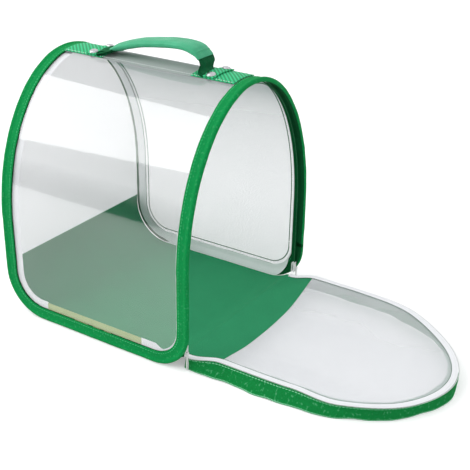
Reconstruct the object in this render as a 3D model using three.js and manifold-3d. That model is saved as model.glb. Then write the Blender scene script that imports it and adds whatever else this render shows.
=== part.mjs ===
// Arched pop-up insect cage with its zip-round end door lying open.
// Units are millimetres, +Z is up and the ground is z = 0.
// X runs along the ridge towards the door, and the clear front window faces -Y.

import * as THREE from 'three';
import { mergeVertices } from 'three/addons/utils/BufferGeometryUtils.js';
import Module from 'manifold-3d';

const wasm = await Module();
wasm.setup();

// Cage body, measured to the middle of the bent main sheet
const cageLength = 250;
const halfWidth = 119;
const springHeight = 110;
const crownRise = 171.5;
const leftCorner = 50;
const rightCorner = 45;

// Cloth, film and tape
const sheetThick = 0.6;
const tapeThick = 0.7;
const seamTapeThick = 0.4;
const zipTapeThick = 0.5;
const webbingThick = 1.2;
const ridgeStripThick = 0.4;
const clearance = 0.3;

// Edge binding with the spring wire in its fold
const bindingWidth = 14;
const rollRadius = 2.6;
const wireRadius = 0.9;
const ferruleLength = 14;
const ferruleWall = 0.35;

// White tape on the inside of the seams, and the film along the front hem
const seamTapeReach = 19;
const filmReach = 20;
const filmLeftGap = 7;
const filmRightGap = 16;

// Ridge
const ridgeWidth = 38;
const webbingInnerEnd = 58;

// Floor cloth and left end
const endWallInset = 1;
const clothClimb = 58;

// Door, hinged just above the sill; its skirt hangs in shallow folds
const hingeInset = 14.5;
const hingeZ = 19;
const doorHeight = 13;
const apronReach = 40.5;
const doorTapeWidth = 11.5;
const doorHemWidth = 10;
const skirtInset = 2.3;
const skirtThick = 0.6;
const skirtFoot = 0.2;
const skirtFolds = 9;
const skirtFoldDepth = 1.2;

// Zip
const coilSize = 1.2;
const flangeHeight = 0.8;
const zipLegEnd = 13.5;
const zipStopGap = 1.5;
const sliderLength = 12;
const sliderPlate = 0.8;
const sliderFoot = 16.5;
const wedgeThick = 0.8;
const wedgeLength = 3.6;
const backPlateGap = 0.5;
const plateOverhang = 0.7;
const cheekHeight = 2.2;
const cheekLength = 3;
const cheekThick = 0.7;
const pinRadius = 0.45;
const pinLevel = 4;
const knuckleRadius = 1.2;
const knuckleLength = 2;
const pullLength = 19.5;
const pullWidth = 3.8;
const pullNeckWidth = 2.4;
const pullNeckLength = 7.8;
const pullShoulderLength = 3.9;
const pullThick = 0.8;

// Carrying handle
const footRadius = 3.2;
const footLength = 11;
const rightFootEnd = 72.5;
const leftFootEnd = -66;
const handleRise = 18.6;
const footOverlap = 1.5;
const strapWidth = 28;
const strapThick = 1.6;
const strapSpread = 1.3;
const sleeveThick = 5;
const sleeveWall = 0.6;
const sleeveLeftGap = 22;
const sleeveRightGap = 17;
const tabLength = 14;
const tabWidth = 37;
const tabThick = 1.4;
const rivetSpacing = 27;
const rivetCapRadius = 5;
const rivetCapHeight = 2.2;
const rivetPostRadius = 1.5;
const rivetTailRadius = 2.4;
const washerRadius = 4.6;
const washerThick = 0.8;

// Facets
const crownSteps = 24;
const cornerSteps = 6;
const rollSteps = 7;
const wireSides = 8;
const boreSides = 12;
const roundSides = 16;
const capSteps = 4;
const foldSteps = 8;
const strapSteps = 30;
const leastStep = 0.5;
const weldDistance = 1e-4;

// Derived levels, as offsets from the middle of the main sheet, outwards positive
const legInner = sheetThick / 2 + clearance;
const legOuter = legInner + tapeThick;
const seamTapeTop = legOuter + clearance;
const seamTapeFoot = seamTapeTop + seamTapeThick;
const insideBinding = Math.max(seamTapeFoot, rollRadius) + clearance;
const zipTapeFoot = insideBinding + zipTapeThick;
const flangeTip = zipTapeFoot + flangeHeight;
const bodyCoilTop = flangeTip + clearance;
const bodyCoilFoot = bodyCoilTop + coilSize;
const wedgeTop = bodyCoilFoot + clearance;
const wedgeFoot = wedgeTop + wedgeThick;
const doorCoilTop = wedgeFoot + clearance;
const doorCoilFoot = doorCoilTop + coilSize;
const backPlateTop = zipTapeFoot + backPlateGap;
const plateFoot = doorCoilFoot + plateOverhang;

// Derived places along the tunnel and over the ground
const panelInset = 2 * rollRadius;
const leftStraight = leftCorner - cageLength / 2;
const rightStraight = cageLength / 2 - rightCorner;
const filmLeftEnd = leftStraight + filmLeftGap;
const filmRightEnd = rightStraight - filmRightGap;
const hingeX = cageLength / 2 - hingeInset;
const closedPlane = hingeX + hingeZ - doorHeight;
const doorSeam = hingeX + apronReach;
const doorZipStart = sliderFoot + sliderLength + zipStopGap;
const doorTapeTop = doorHeight + zipTapeThick / 2;
const doorTapeFoot = doorHeight - zipTapeThick / 2;
const doorSheetTop = doorTapeFoot - clearance;
const doorSheetFoot = doorSheetTop - sheetThick;
const doorHemTop = doorSheetFoot - clearance;
const doorHemFoot = doorHemTop - tapeThick;

const materials = {
  film: { color: 0xeaf0f4, roughness: 0.08, metalness: 0, transparent: true, opacity: 0.35 },
  mesh: { color: 0xf1f2f3, roughness: 0.85, metalness: 0 },
  green: { color: 0x12a350, roughness: 0.75, metalness: 0 },
  floor: { color: 0x2f8f5e, roughness: 0.85, metalness: 0 },
  webbing: { color: 0x25c374, roughness: 0.7, metalness: 0 },
  white: { color: 0xf4f4f2, roughness: 0.6, metalness: 0 },
  steel: { color: 0xb9bcc0, roughness: 0.3, metalness: 1 },
  olive: { color: 0x9aa56f, roughness: 0.5, metalness: 0 },
  ridge: { color: 0xc9cdcc, roughness: 0.7, metalness: 0 },
};

const cage = new THREE.Group();

function addMesh(name, geometry, material, parent = cage) {
  const mesh = new THREE.Mesh(geometry, new THREE.MeshStandardMaterial(materials[material]));
  mesh.name = name;
  parent.add(mesh);
  return mesh;
}

// The arch is kept as stations along its girth: straight side, half ellipse, straight side
function archStations() {
  const stations = [{ u: 0, y: -halfWidth, z: 0, ny: -1, nz: 0 }];
  for (let i = 0; i <= crownSteps; i += 1) {
    const angle = (Math.PI * i) / crownSteps;
    const y = -halfWidth * Math.cos(angle);
    const z = springHeight + crownRise * Math.sin(angle);
    const normal = new THREE.Vector2(y / halfWidth ** 2, (z - springHeight) / crownRise ** 2).normalize();
    stations.push({ y, z, ny: normal.x, nz: normal.y });
  }
  stations.push({ y: halfWidth, z: 0, ny: 1, nz: 0 });
  for (let i = 1; i < stations.length; i += 1) {
    const before = stations[i - 1];
    const here = stations[i];
    here.u = before.u + Math.hypot(here.y - before.y, here.z - before.z);
  }
  return stations;
}

const stations = archStations();
const girth = stations[stations.length - 1].u;
const ridge = girth / 2;

// Girth u, place x along the tunnel and outward offset n become a point in space
function bend(u, x, n) {
  let i = 1;
  while (i < stations.length - 1 && stations[i].u < u) i += 1;
  const a = stations[i - 1];
  const b = stations[i];
  const t = (u - a.u) / (b.u - a.u);
  const y = a.y + (b.y - a.y) * t + n * (a.ny + (b.ny - a.ny) * t);
  const z = a.z + (b.z - a.z) * t + n * (a.nz + (b.nz - a.nz) * t);
  return new THREE.Vector3(x, y, z);
}

function stationsBetween(from, to) {
  const places = stations.map((station) => station.u);
  return [from, ...places.filter((u) => u > from + leastStep && u < to - leastStep), to];
}

// Closed solid from equal rings of points; open runs get flat end caps
function loft(rings, closed = false) {
  const count = rings[0].length;
  const positions = rings.flat().flatMap((p) => [p.x, p.y, p.z]);
  const index = [];
  const last = closed ? rings.length : rings.length - 1;
  for (let i = 0; i < last; i += 1) {
    const here = i * count;
    const next = ((i + 1) % rings.length) * count;
    for (let j = 0; j < count; j += 1) {
      const k = (j + 1) % count;
      index.push(here + j, here + k, next + k, here + j, next + k, next + j);
    }
  }
  if (!closed) {
    const end = (rings.length - 1) * count;
    for (const [a, b, c] of capTriangles(rings[0])) index.push(a, c, b);
    for (const [a, b, c] of capTriangles(rings[rings.length - 1])) index.push(end + a, end + b, end + c);
  }
  const geometry = new THREE.BufferGeometry();
  geometry.setAttribute('position', new THREE.Float32BufferAttribute(positions, 3));
  geometry.setIndex(index);
  return facingOut(geometry);
}

// Triangulates one planar ring, keeping the ring's own direction round
function capTriangles(ring) {
  const normal = new THREE.Vector3();
  ring.forEach((p, i) => normal.add(p.clone().cross(ring[(i + 1) % ring.length])));
  const size = [Math.abs(normal.x), Math.abs(normal.y), Math.abs(normal.z)];
  const drop = size.indexOf(Math.max(...size));
  const flat = ring.map((p) => {
    if (drop === 0) return new THREE.Vector2(p.y, p.z);
    if (drop === 1) return new THREE.Vector2(p.z, p.x);
    return new THREE.Vector2(p.x, p.y);
  });
  const clockwise = THREE.ShapeUtils.isClockWise(flat);
  const faces = THREE.ShapeUtils.triangulateShape(flat, []);
  return faces.map(([a, b, c]) => {
    const area = (flat[b].x - flat[a].x) * (flat[c].y - flat[a].y)
      - (flat[c].x - flat[a].x) * (flat[b].y - flat[a].y);
    return (area < 0) === clockwise ? [a, b, c] : [a, c, b];
  });
}

function volumeOf(geometry) {
  const p = geometry.attributes.position;
  const corners = [new THREE.Vector3(), new THREE.Vector3(), new THREE.Vector3()];
  let total = 0;
  for (let i = 0; i < geometry.index.count; i += 3) {
    corners.forEach((corner, j) => corner.fromBufferAttribute(p, geometry.index.getX(i + j)));
    total += corners[0].dot(corners[1].clone().cross(corners[2])) / 6;
  }
  return total;
}

function facingOut(geometry) {
  if (volumeOf(geometry) > 0) return geometry;
  const index = Array.from(geometry.index.array);
  for (let i = 0; i < index.length; i += 3) {
    const swap = index[i];
    index[i] = index[i + 1];
    index[i + 1] = swap;
  }
  geometry.setIndex(index);
  return geometry;
}

function merged(geometry) {
  const bare = geometry.index ? geometry.toNonIndexed() : geometry.clone();
  bare.deleteAttribute('normal');
  bare.deleteAttribute('uv');
  return facingOut(mergeVertices(bare, weldDistance));
}

function toSolid(geometry) {
  const clean = merged(geometry);
  return new wasm.Manifold(new wasm.Mesh({
    numProp: 3,
    vertProperties: new Float32Array(clean.attributes.position.array),
    triVerts: new Uint32Array(clean.index.array),
  }));
}

function toGeometry(solid) {
  const mesh = solid.getMesh();
  const geometry = new THREE.BufferGeometry();
  geometry.setAttribute('position', new THREE.Float32BufferAttribute(mesh.vertProperties, 3));
  geometry.setIndex(Array.from(mesh.triVerts));
  return geometry;
}

function unite(geometries) {
  return toGeometry(geometries.map(toSolid).reduce((a, b) => a.add(b)));
}

function cut(geometry, tools) {
  return toGeometry(tools.map(toSolid).reduce((a, b) => a.subtract(b), toSolid(geometry)));
}

function boxBetween(low, high) {
  const size = new THREE.Vector3().subVectors(high, low);
  const box = new THREE.BoxGeometry(size.x, size.y, size.z);
  box.translate((low.x + high.x) / 2, (low.y + high.y) / 2, (low.z + high.z) / 2);
  return box;
}

// A band of cloth laid on the arch, between two places along the girth
function archBand(fromU, toU, fromX, toX, fromN, toN) {
  return loft(stationsBetween(fromU, toU).map((u) => [
    bend(u, fromX, fromN),
    bend(u, toX, fromN),
    bend(u, toX, toN),
    bend(u, fromX, toN),
  ]));
}

// One end arch of the rounded rectangle, front foot to back foot, with its inward direction
function archRun(side) {
  const radius = side > 0 ? rightCorner : leftCorner;
  const front = [];
  for (let k = 0; k <= cornerSteps; k += 1) {
    const angle = (Math.PI / 2) * (k / cornerSteps);
    front.push({
      u: radius - radius * Math.cos(angle),
      x: side * (cageLength / 2 - radius + radius * Math.sin(angle)),
      inU: Math.cos(angle),
      inX: -side * Math.sin(angle),
    });
  }
  const back = front.map((p) => ({ ...p, u: girth - p.u, inU: -p.inU })).reverse();
  const inner = stationsBetween(radius, girth - radius).slice(1, -1);
  const middle = inner.map((u) => ({ u, x: (side * cageLength) / 2, inU: 0, inX: -side }));
  return [...front, ...middle, ...back];
}

function hemPoint(atBack, x) {
  return { u: atBack ? girth : 0, x, inU: atBack ? -1 : 1, inX: 0 };
}

// Sweeps an outline given as inward reach and outward offset along an edge run
function edgeSweep(run, outline, closed = false) {
  const place = (p, reach, n) => bend(p.u + p.inU * reach, p.x + p.inX * reach, n);
  return loft(run.map((p) => outline.map(([reach, n]) => place(p, reach, n))), closed);
}

function arcPoints(centre, radius, from, to, steps) {
  const points = [];
  for (let i = 0; i <= steps; i += 1) {
    const angle = from + ((to - from) * i) / steps;
    points.push([centre + radius * Math.cos(angle), radius * Math.sin(angle)]);
  }
  return points;
}

// Folded binding: a leg on each face of the sheet and a roll for the wire
function bindingOutline() {
  const outerStart = Math.asin(legOuter / rollRadius);
  const innerRadius = rollRadius - tapeThick;
  const innerStart = Math.asin(legInner / innerRadius);
  return [
    [bindingWidth, legOuter],
    ...arcPoints(rollRadius, rollRadius, outerStart, 2 * Math.PI - outerStart, rollSteps),
    [bindingWidth, -legOuter],
    [bindingWidth, -legInner],
    ...arcPoints(rollRadius, innerRadius, 2 * Math.PI - innerStart, innerStart, rollSteps),
    [bindingWidth, legInner],
  ];
}

function bandOutline(fromReach, toReach, topN, footN) {
  return [[fromReach, -topN], [toReach, -topN], [toReach, -footN], [fromReach, -footN]];
}

// Half of the main sheet, with its two rounded bottom corners, from the hem to the ridge
function halfSheet(atBack) {
  const levels = new Set();
  for (const radius of [leftCorner, rightCorner]) {
    for (let k = 0; k <= cornerSteps; k += 1) {
      const angle = (Math.PI / 2) * (k / cornerSteps);
      levels.add(Number((radius - (radius - panelInset) * Math.cos(angle)).toFixed(3)));
    }
  }
  stationsBetween(leftCorner, ridge - clearance / 2).forEach((u) => levels.add(u));
  const reach = (u, radius) => {
    if (u >= radius) return cageLength / 2 - panelInset;
    return cageLength / 2 - radius + Math.sqrt(Math.max(0, (radius - panelInset) ** 2 - (radius - u) ** 2));
  };
  return loft([...levels].sort((a, b) => a - b).map((u) => {
    const place = atBack ? girth - u : u;
    const left = -reach(u, leftCorner);
    const right = reach(u, rightCorner);
    return [
      bend(place, left, -sheetThick / 2),
      bend(place, right, -sheetThick / 2),
      bend(place, right, sheetThick / 2),
      bend(place, left, sheetThick / 2),
    ];
  }));
}

// Rivets stand square to the ridge on both sides of its middle line
const rivetColumns = {
  left: leftFootEnd - clearance - tabLength / 2,
  right: rightFootEnd + clearance + tabLength / 2,
};
const rivetHoleRadius = rivetPostRadius + clearance;
const rivetHoleDepth = 4 * rivetCapRadius;

function ontoRidge(geometry, x, offset) {
  const foot = bend(ridge + offset, x, 0);
  const head = bend(ridge + offset, x, 1);
  const outwards = new THREE.Vector3().subVectors(head, foot).normalize();
  const turn = new THREE.Quaternion().setFromUnitVectors(new THREE.Vector3(0, 1, 0), outwards);
  return geometry.applyQuaternion(turn).translate(foot.x, foot.y, foot.z);
}

function rivetHoles(sides) {
  const holes = [];
  for (const side of sides) {
    for (const offset of [-rivetSpacing / 2, rivetSpacing / 2]) {
      const hole = new THREE.CylinderGeometry(rivetHoleRadius, rivetHoleRadius, rivetHoleDepth, boreSides);
      holes.push(ontoRidge(hole, rivetColumns[side], offset));
    }
  }
  return holes;
}

// Main sheet: clear window in front, white mesh behind
addMesh('front_window', cut(halfSheet(false), rivetHoles(['left', 'right'])), 'film');
addMesh('back_panel', cut(halfSheet(true), rivetHoles(['left', 'right'])), 'mesh');

// Edge binding in four runs
const innerLength = cageLength / 2 - bindingWidth - clearance;
addMesh('left_arch_binding', edgeSweep(archRun(-1), bindingOutline()), 'green');
addMesh('right_arch_binding', edgeSweep(archRun(1), bindingOutline()), 'green');
const hemLeft = leftStraight + clearance;
const hemRight = rightStraight - clearance;
for (const [name, atBack] of [['front_hem_binding', false], ['back_hem_binding', true]]) {
  const run = [hemPoint(atBack, hemLeft), hemPoint(atBack, hemRight)];
  addMesh(name, edgeSweep(run, bindingOutline()), 'green');
}

// Spring wire loop inside the fold, closed by a crimped sleeve on the back hem
const wireLoop = [...archRun(1), ...archRun(-1).reverse()];
const lastSide = (2 * Math.PI * (wireSides - 1)) / wireSides;
const wireOutline = arcPoints(rollRadius, wireRadius, 0, lastSide, wireSides - 1);
addMesh('frame_wire', edgeSweep(wireLoop, wireOutline, true), 'steel');
const ferruleInner = wireRadius + clearance;
const ferruleProfile = [
  [ferruleInner, -ferruleLength / 2],
  [ferruleInner + ferruleWall, -ferruleLength / 2],
  [ferruleInner + ferruleWall, ferruleLength / 2],
  [ferruleInner, ferruleLength / 2],
  [ferruleInner, -ferruleLength / 2],
].map(([r, h]) => new THREE.Vector2(r, h));
const ferrule = merged(new THREE.LatheGeometry(ferruleProfile, roundSides)).rotateZ(Math.PI / 2);
addMesh('wire_ferrule', ferrule, 'steel').position.set(0, halfWidth, rollRadius);

// White seam tape inside, and the see-through film along the front hem
const seamOutline = bandOutline(2 * rollRadius + clearance, seamTapeReach, seamTapeTop, seamTapeFoot);
const leftSeam = [hemPoint(false, filmLeftEnd), ...archRun(-1), hemPoint(true, hemRight)];
const rightSeam = [hemPoint(false, filmRightEnd), ...archRun(1)];
addMesh('seam_tape_left', edgeSweep(leftSeam, seamOutline), 'white');
addMesh('seam_tape_right', edgeSweep(rightSeam, seamOutline), 'white');
const filmRun = [hemPoint(false, filmLeftEnd + clearance), hemPoint(false, filmRightEnd - clearance)];
const filmOutline = bandOutline(bindingWidth + clearance, filmReach, seamTapeTop, seamTapeFoot);
addMesh('front_hem_film', edgeSweep(filmRun, filmOutline), 'olive');

// Ridge strip, and the webbing that runs from each arch to the handle
const stripTop = legInner + ridgeStripThick;
const webbingFoot = legOuter;
const webbingTop = webbingFoot + webbingThick;
const ridgeFrom = ridge - ridgeWidth / 2;
const ridgeTo = ridge + ridgeWidth / 2;
const strip = archBand(ridgeFrom, ridgeTo, -innerLength, innerLength, legInner, stripTop);
addMesh('ridge_strip', cut(strip, rivetHoles(['left', 'right'])), 'ridge');
const webbingRight = archBand(ridgeFrom, ridgeTo, webbingInnerEnd, innerLength, webbingFoot, webbingTop);
const webbingLeft = archBand(ridgeFrom, ridgeTo, -innerLength, -webbingInnerEnd, webbingFoot, webbingTop);
addMesh('ridge_webbing_left', cut(webbingLeft, rivetHoles(['left'])), 'webbing');
addMesh('ridge_webbing_right', cut(webbingRight, rivetHoles(['right'])), 'webbing');

// Floor cloth: sill at the door, flat floor, then up the left end wall
const sillRadius = rightCorner - sheetThick / 2;
const sillRise = (doorSheetTop + doorSheetFoot) / 2;
const sillAngle = Math.acos((rightCorner - sillRise) / sillRadius);

function floorCloth() {
  const half = halfWidth - insideBinding;
  const wallCentre = leftCorner - endWallInset;
  const wallRadius = wallCentre - sheetThick / 2;
  const path = [];
  for (let k = 0; k <= cornerSteps; k += 1) {
    const angle = sillAngle * (1 - k / cornerSteps);
    path.push({ x: rightStraight, z: rightCorner, angle, radius: sillRadius });
  }
  for (let k = 0; k <= cornerSteps; k += 1) {
    const angle = -(Math.PI / 2) * (k / cornerSteps);
    path.push({ x: leftStraight, z: wallCentre, angle, radius: wallRadius });
  }
  path.push({ x: leftStraight, z: clothClimb, angle: -Math.PI / 2, radius: wallRadius });
  return loft(path.map((p) => {
    const at = (radius, y) => new THREE.Vector3(
      p.x + radius * Math.sin(p.angle),
      y,
      p.z - radius * Math.cos(p.angle),
    );
    const outer = p.radius + sheetThick / 2;
    const inner = p.radius - sheetThick / 2;
    return [at(outer, -half), at(outer, half), at(inner, half), at(inner, -half)];
  }));
}
addMesh('floor_cloth', floorCloth(), 'floor');

// Left end wall: a flat arch of white mesh above the floor cloth
function endWall() {
  const outline = new THREE.Shape();
  const foot = clothClimb + clearance;
  const us = stationsBetween(foot, girth - foot);
  us.forEach((u, i) => {
    const p = bend(u, 0, -insideBinding);
    if (i === 0) outline.moveTo(p.y, p.z);
    else outline.lineTo(p.y, p.z);
  });
  const wall = new THREE.ExtrudeGeometry(outline, { depth: sheetThick, bevelEnabled: false });
  wall.applyMatrix4(new THREE.Matrix4().set(0, 0, 1, 0, 1, 0, 0, 0, 0, 1, 0, 0, 0, 0, 0, 1));
  wall.translate(endWallInset - cageLength / 2, 0, 0);
  return merged(wall);
}
addMesh('left_end_panel', endWall(), 'mesh');

// Body half of the zip: a folded tape on the right arch, and its coil
const coilInset = cageLength / 2 - closedPlane;
const flangeFrom = coilInset - zipTapeThick / 2;
const flangeTo = coilInset + zipTapeThick / 2;
const zipRun = stationsBetween(sliderFoot, girth - sliderFoot)
  .map((u) => ({ u, x: cageLength / 2, inU: 0, inX: -1 }));
addMesh('body_zipper_tape', edgeSweep(zipRun, [
  [flangeFrom, -insideBinding],
  [zipLegEnd, -insideBinding],
  [zipLegEnd, -zipTapeFoot],
  [flangeTo, -zipTapeFoot],
  [flangeTo, -flangeTip],
  [flangeFrom, -flangeTip],
]), 'green');
addMesh('body_zipper_coil', edgeSweep(zipRun, bandOutline(
  coilInset - coilSize / 2,
  coilInset + coilSize / 2,
  bodyCoilTop,
  bodyCoilFoot,
)), 'green');

// Slider and pull are drawn for the front; side +1 mirrors them for the back
const slotHalf = coilSize / 2 + clearance;
const plateOuter = slotHalf + sliderPlate;
const cheekGap = knuckleLength / 2 + clearance;
const pinReach = plateOuter + clearance + knuckleRadius;
const crownPlace = halfWidth - insideBinding - cheekThick - cheekGap;

function sidePlace(side, n) {
  return side * (halfWidth - n);
}

function between(side, x0, x1, n0, n1, z0, z1) {
  const ys = [sidePlace(side, n0), sidePlace(side, n1)].sort((a, b) => a - b);
  return boxBetween(new THREE.Vector3(x0, ys[0], z0), new THREE.Vector3(x1, ys[1], z1));
}

function sliderGeometry(side) {
  const parts = [
    between(side, -plateOuter, -slotHalf, backPlateTop, plateFoot, 0, sliderLength),
    between(side, slotHalf, plateOuter, insideBinding, plateFoot, 0, sliderLength),
    between(side, -plateOuter, plateOuter, wedgeTop, wedgeFoot, sliderLength - wedgeLength, sliderLength),
  ];
  for (const end of [-1, 1]) {
    const inner = side * crownPlace + end * cheekGap;
    const outer = inner + end * cheekThick;
    parts.push(boxBetween(
      new THREE.Vector3(slotHalf, Math.min(inner, outer), pinLevel - cheekLength / 2),
      new THREE.Vector3(plateOuter + cheekHeight, Math.max(inner, outer), pinLevel + cheekLength / 2),
    ));
  }
  const pin = new THREE.CylinderGeometry(pinRadius, pinRadius, 2 * cheekGap + cheekThick, boreSides);
  pin.translate(pinReach, side * crownPlace, pinLevel);
  parts.push(pin);
  return unite(parts);
}

function pullGeometry(side) {
  const knuckle = new THREE.CylinderGeometry(knuckleRadius, knuckleRadius, knuckleLength, roundSides);
  const tipCentre = pullWidth / 2 - pullLength;
  const shoulder = -pullNeckLength - pullShoulderLength;
  const tab = new THREE.Shape();
  tab.moveTo(-pullNeckWidth / 2, -knuckleRadius / 2);
  tab.lineTo(-pullNeckWidth / 2, -pullNeckLength);
  tab.lineTo(-pullWidth / 2, shoulder);
  tab.lineTo(-pullWidth / 2, tipCentre);
  tab.absarc(0, tipCentre, pullWidth / 2, Math.PI, 2 * Math.PI, false);
  tab.lineTo(pullWidth / 2, shoulder);
  tab.lineTo(pullNeckWidth / 2, -pullNeckLength);
  tab.lineTo(pullNeckWidth / 2, -knuckleRadius / 2);
  const plate = new THREE.ExtrudeGeometry(tab, { depth: pullThick, bevelEnabled: false, curveSegments: 8 });
  plate.translate(0, 0, -pullThick / 2);
  plate.applyMatrix4(new THREE.Matrix4().set(0, 0, 1, 0, 1, 0, 0, 0, 0, 1, 0, 0, 0, 0, 0, 1));
  const boreRadius = pinRadius + clearance;
  const bore = new THREE.CylinderGeometry(boreRadius, boreRadius, 2 * knuckleLength, boreSides);
  const pull = cut(unite([knuckle, plate]), [bore]);
  return pull.translate(pinReach, side * crownPlace, pinLevel);
}

for (const [where, side] of [['front', -1], ['back', 1]]) {
  const track = new THREE.Group();
  track.position.set(closedPlane, 0, sliderFoot);
  cage.add(track);
  addMesh(`slider_${where}`, sliderGeometry(side), 'white', track);
  addMesh(`pull_${where}`, pullGeometry(side), 'white', track);
}

// The door is the arch laid down: height above the hinge becomes reach from the hinge
function doorPoint(u, n, z) {
  const p = bend(u, 0, -n);
  return new THREE.Vector3(hingeX - hingeZ + p.z, p.y, z);
}

function doorBand(fromN, toN, fromZ, toZ) {
  return loft(stationsBetween(doorZipStart, girth - doorZipStart).map((u) => [
    doorPoint(u, fromN, fromZ),
    doorPoint(u, toN, fromZ),
    doorPoint(u, toN, toZ),
    doorPoint(u, fromN, toZ),
  ]));
}

const skirtOuter = doorCoilTop + skirtInset;
const doorSheetInset = skirtOuter + skirtThick + clearance;
const doorTapeInset = doorCoilFoot + clearance;

function doorPanel() {
  const start = doorSeam + clearance - hingeX + hingeZ;
  const outline = new THREE.Shape();
  stationsBetween(start, girth - start).forEach((u, i) => {
    const p = doorPoint(u, doorSheetInset, 0);
    if (i === 0) outline.moveTo(p.x, p.y);
    else outline.lineTo(p.x, p.y);
  });
  const sheet = new THREE.ExtrudeGeometry(outline, { depth: sheetThick, bevelEnabled: false });
  return merged(sheet.translate(0, 0, doorSheetFoot));
}

const apronHalf = halfWidth - doorSheetInset;
const doorFirstEdge = rightStraight + rightCorner * Math.sin(sillAngle) + clearance;
const doorTapeEnd = doorTapeInset + doorTapeWidth;
addMesh('door_panel', doorPanel(), 'mesh');
addMesh('door_apron', merged(boxBetween(
  new THREE.Vector3(doorFirstEdge, -apronHalf, doorSheetFoot),
  new THREE.Vector3(doorSeam, apronHalf, doorSheetTop),
)), 'floor');
addMesh('door_zipper_tape', doorBand(doorTapeInset, doorTapeEnd, doorTapeFoot, doorTapeTop), 'white');
addMesh('door_zipper_coil', doorBand(
  doorCoilTop,
  doorCoilFoot,
  doorHeight - coilSize / 2,
  doorHeight + coilSize / 2,
), 'white');
addMesh('door_hem', doorBand(
  doorSheetInset,
  doorSheetInset + doorHemWidth,
  doorHemFoot,
  doorHemTop,
), 'green');

// The skirt hangs straight past the hem, then in shallow folds down to its loose lower edge
function doorSkirt() {
  const steps = skirtFolds * foldSteps;
  const straightFoot = doorHemFoot - clearance;
  const rings = [];
  for (let i = 0; i <= steps; i += 1) {
    const u = doorZipStart + ((girth - 2 * doorZipStart) * i) / steps;
    const sway = skirtFoldDepth * Math.sin((2 * Math.PI * i) / foldSteps);
    rings.push([
      doorPoint(u, skirtOuter, doorSheetTop),
      doorPoint(u, skirtOuter, straightFoot),
      doorPoint(u, skirtOuter - sway, skirtFoot),
      doorPoint(u, skirtOuter + skirtThick - sway, skirtFoot),
      doorPoint(u, skirtOuter + skirtThick, straightFoot),
      doorPoint(u, skirtOuter + skirtThick, doorSheetTop),
    ]);
  }
  return loft(rings);
}
addMesh('door_skirt', doorSkirt(), 'green');

// Handle: strap between two gathered feet, with a padded hand sleeve over it
const strapLevel = springHeight + crownRise + webbingTop + clearance + footRadius;
const handleFrom = leftFootEnd + footLength - footOverlap;
const handleTo = rightFootEnd - footLength + footOverlap;
const handleRoute = [
  [0, 0],
  [0.08, 0.09],
  [0.15, 0.27],
  [0.245, 0.48],
  [0.37, 0.7],
  [0.52, 0.86],
  [0.66, 0.98],
  [0.79, 1],
  [0.88, 0.89],
  [0.95, 0.62],
  [0.985, 0.27],
  [1, 0],
].map(([along, up]) => new THREE.Vector3(
  handleFrom + along * (handleTo - handleFrom),
  0,
  strapLevel + up * handleRise,
));
const handleCurve = new THREE.CatmullRomCurve3(handleRoute, false, 'centripetal');

function strapBand(fromT, toT, halfThick, halfWidthAt) {
  const rings = [];
  for (let i = 0; i <= strapSteps; i += 1) {
    const t = fromT + ((toT - fromT) * i) / strapSteps;
    const p = handleCurve.getPointAt(t);
    const along = handleCurve.getTangentAt(t);
    const up = new THREE.Vector3(-along.z, 0, along.x);
    const w = halfWidthAt(p.z - strapLevel);
    const side = new THREE.Vector3(0, 1, 0);
    const corner = (y, n) => p.clone().addScaledVector(side, y).addScaledVector(up, n);
    const edge = Math.max(w - halfThick, w / 2);
    rings.push([
      corner(-w, 0),
      corner(-edge, halfThick),
      corner(edge, halfThick),
      corner(w, 0),
      corner(edge, -halfThick),
      corner(-edge, -halfThick),
    ]);
  }
  return loft(rings);
}

const strapLength = handleCurve.getLength();
const widestHalf = strapWidth / 2 - sleeveWall - clearance;
const strapHalf = (rise) => Math.min(widestHalf, footRadius + strapSpread * Math.max(rise, 0));
const sleeveHalf = (rise) => strapHalf(rise) + sleeveWall + clearance;

function footBar(end, inward) {
  const bar = new THREE.CylinderGeometry(footRadius, footRadius, footLength, roundSides);
  return bar.rotateZ(Math.PI / 2).translate(end + (inward * footLength) / 2, 0, strapLevel);
}

addMesh('handle_strap', unite([
  strapBand(0, 1, strapThick / 2, strapHalf),
  footBar(leftFootEnd, 1),
  footBar(rightFootEnd, -1),
]), 'green');
const sleeveFrom = sleeveLeftGap / strapLength;
const sleeveTo = 1 - sleeveRightGap / strapLength;
const past = 1 / strapSteps;
const boreHalf = (rise) => strapHalf(rise) + clearance;
const sleeveBore = strapBand(sleeveFrom - past, sleeveTo + past, strapThick / 2 + clearance, boreHalf);
const sleeveBody = strapBand(sleeveFrom, sleeveTo, sleeveThick / 2, sleeveHalf);
addMesh('handle_sleeve', cut(sleeveBody, [sleeveBore]), 'webbing');

// Riveted tabs at the two ends of the handle
const tabFoot = webbingTop + clearance;
const tabTop = tabFoot + tabThick;
for (const [name, fromX, toX] of [
  ['left', leftFootEnd - clearance - tabLength, leftFootEnd - clearance],
  ['right', rightFootEnd + clearance, rightFootEnd + clearance + tabLength],
]) {
  const tab = archBand(ridge - tabWidth / 2, ridge + tabWidth / 2, fromX, toX, tabFoot, tabTop);
  addMesh(`handle_tab_${name}`, cut(tab, rivetHoles([name])), 'green');
}

function rivetGeometry() {
  const capFoot = tabTop + clearance;
  const tailTop = -(legInner + washerThick + clearance);
  const profile = [[0, capFoot + rivetCapHeight]];
  for (let i = 1; i <= capSteps; i += 1) {
    const angle = (Math.PI / 2) * (i / capSteps);
    profile.push([rivetCapRadius * Math.sin(angle), capFoot + rivetCapHeight * Math.cos(angle)]);
  }
  profile.push(
    [rivetPostRadius, capFoot],
    [rivetPostRadius, tailTop],
    [rivetTailRadius, tailTop],
    [rivetTailRadius, tailTop - washerThick],
    [0, tailTop - washerThick],
  );
  return merged(new THREE.LatheGeometry(profile.map(([r, h]) => new THREE.Vector2(r, h)), roundSides));
}

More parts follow.
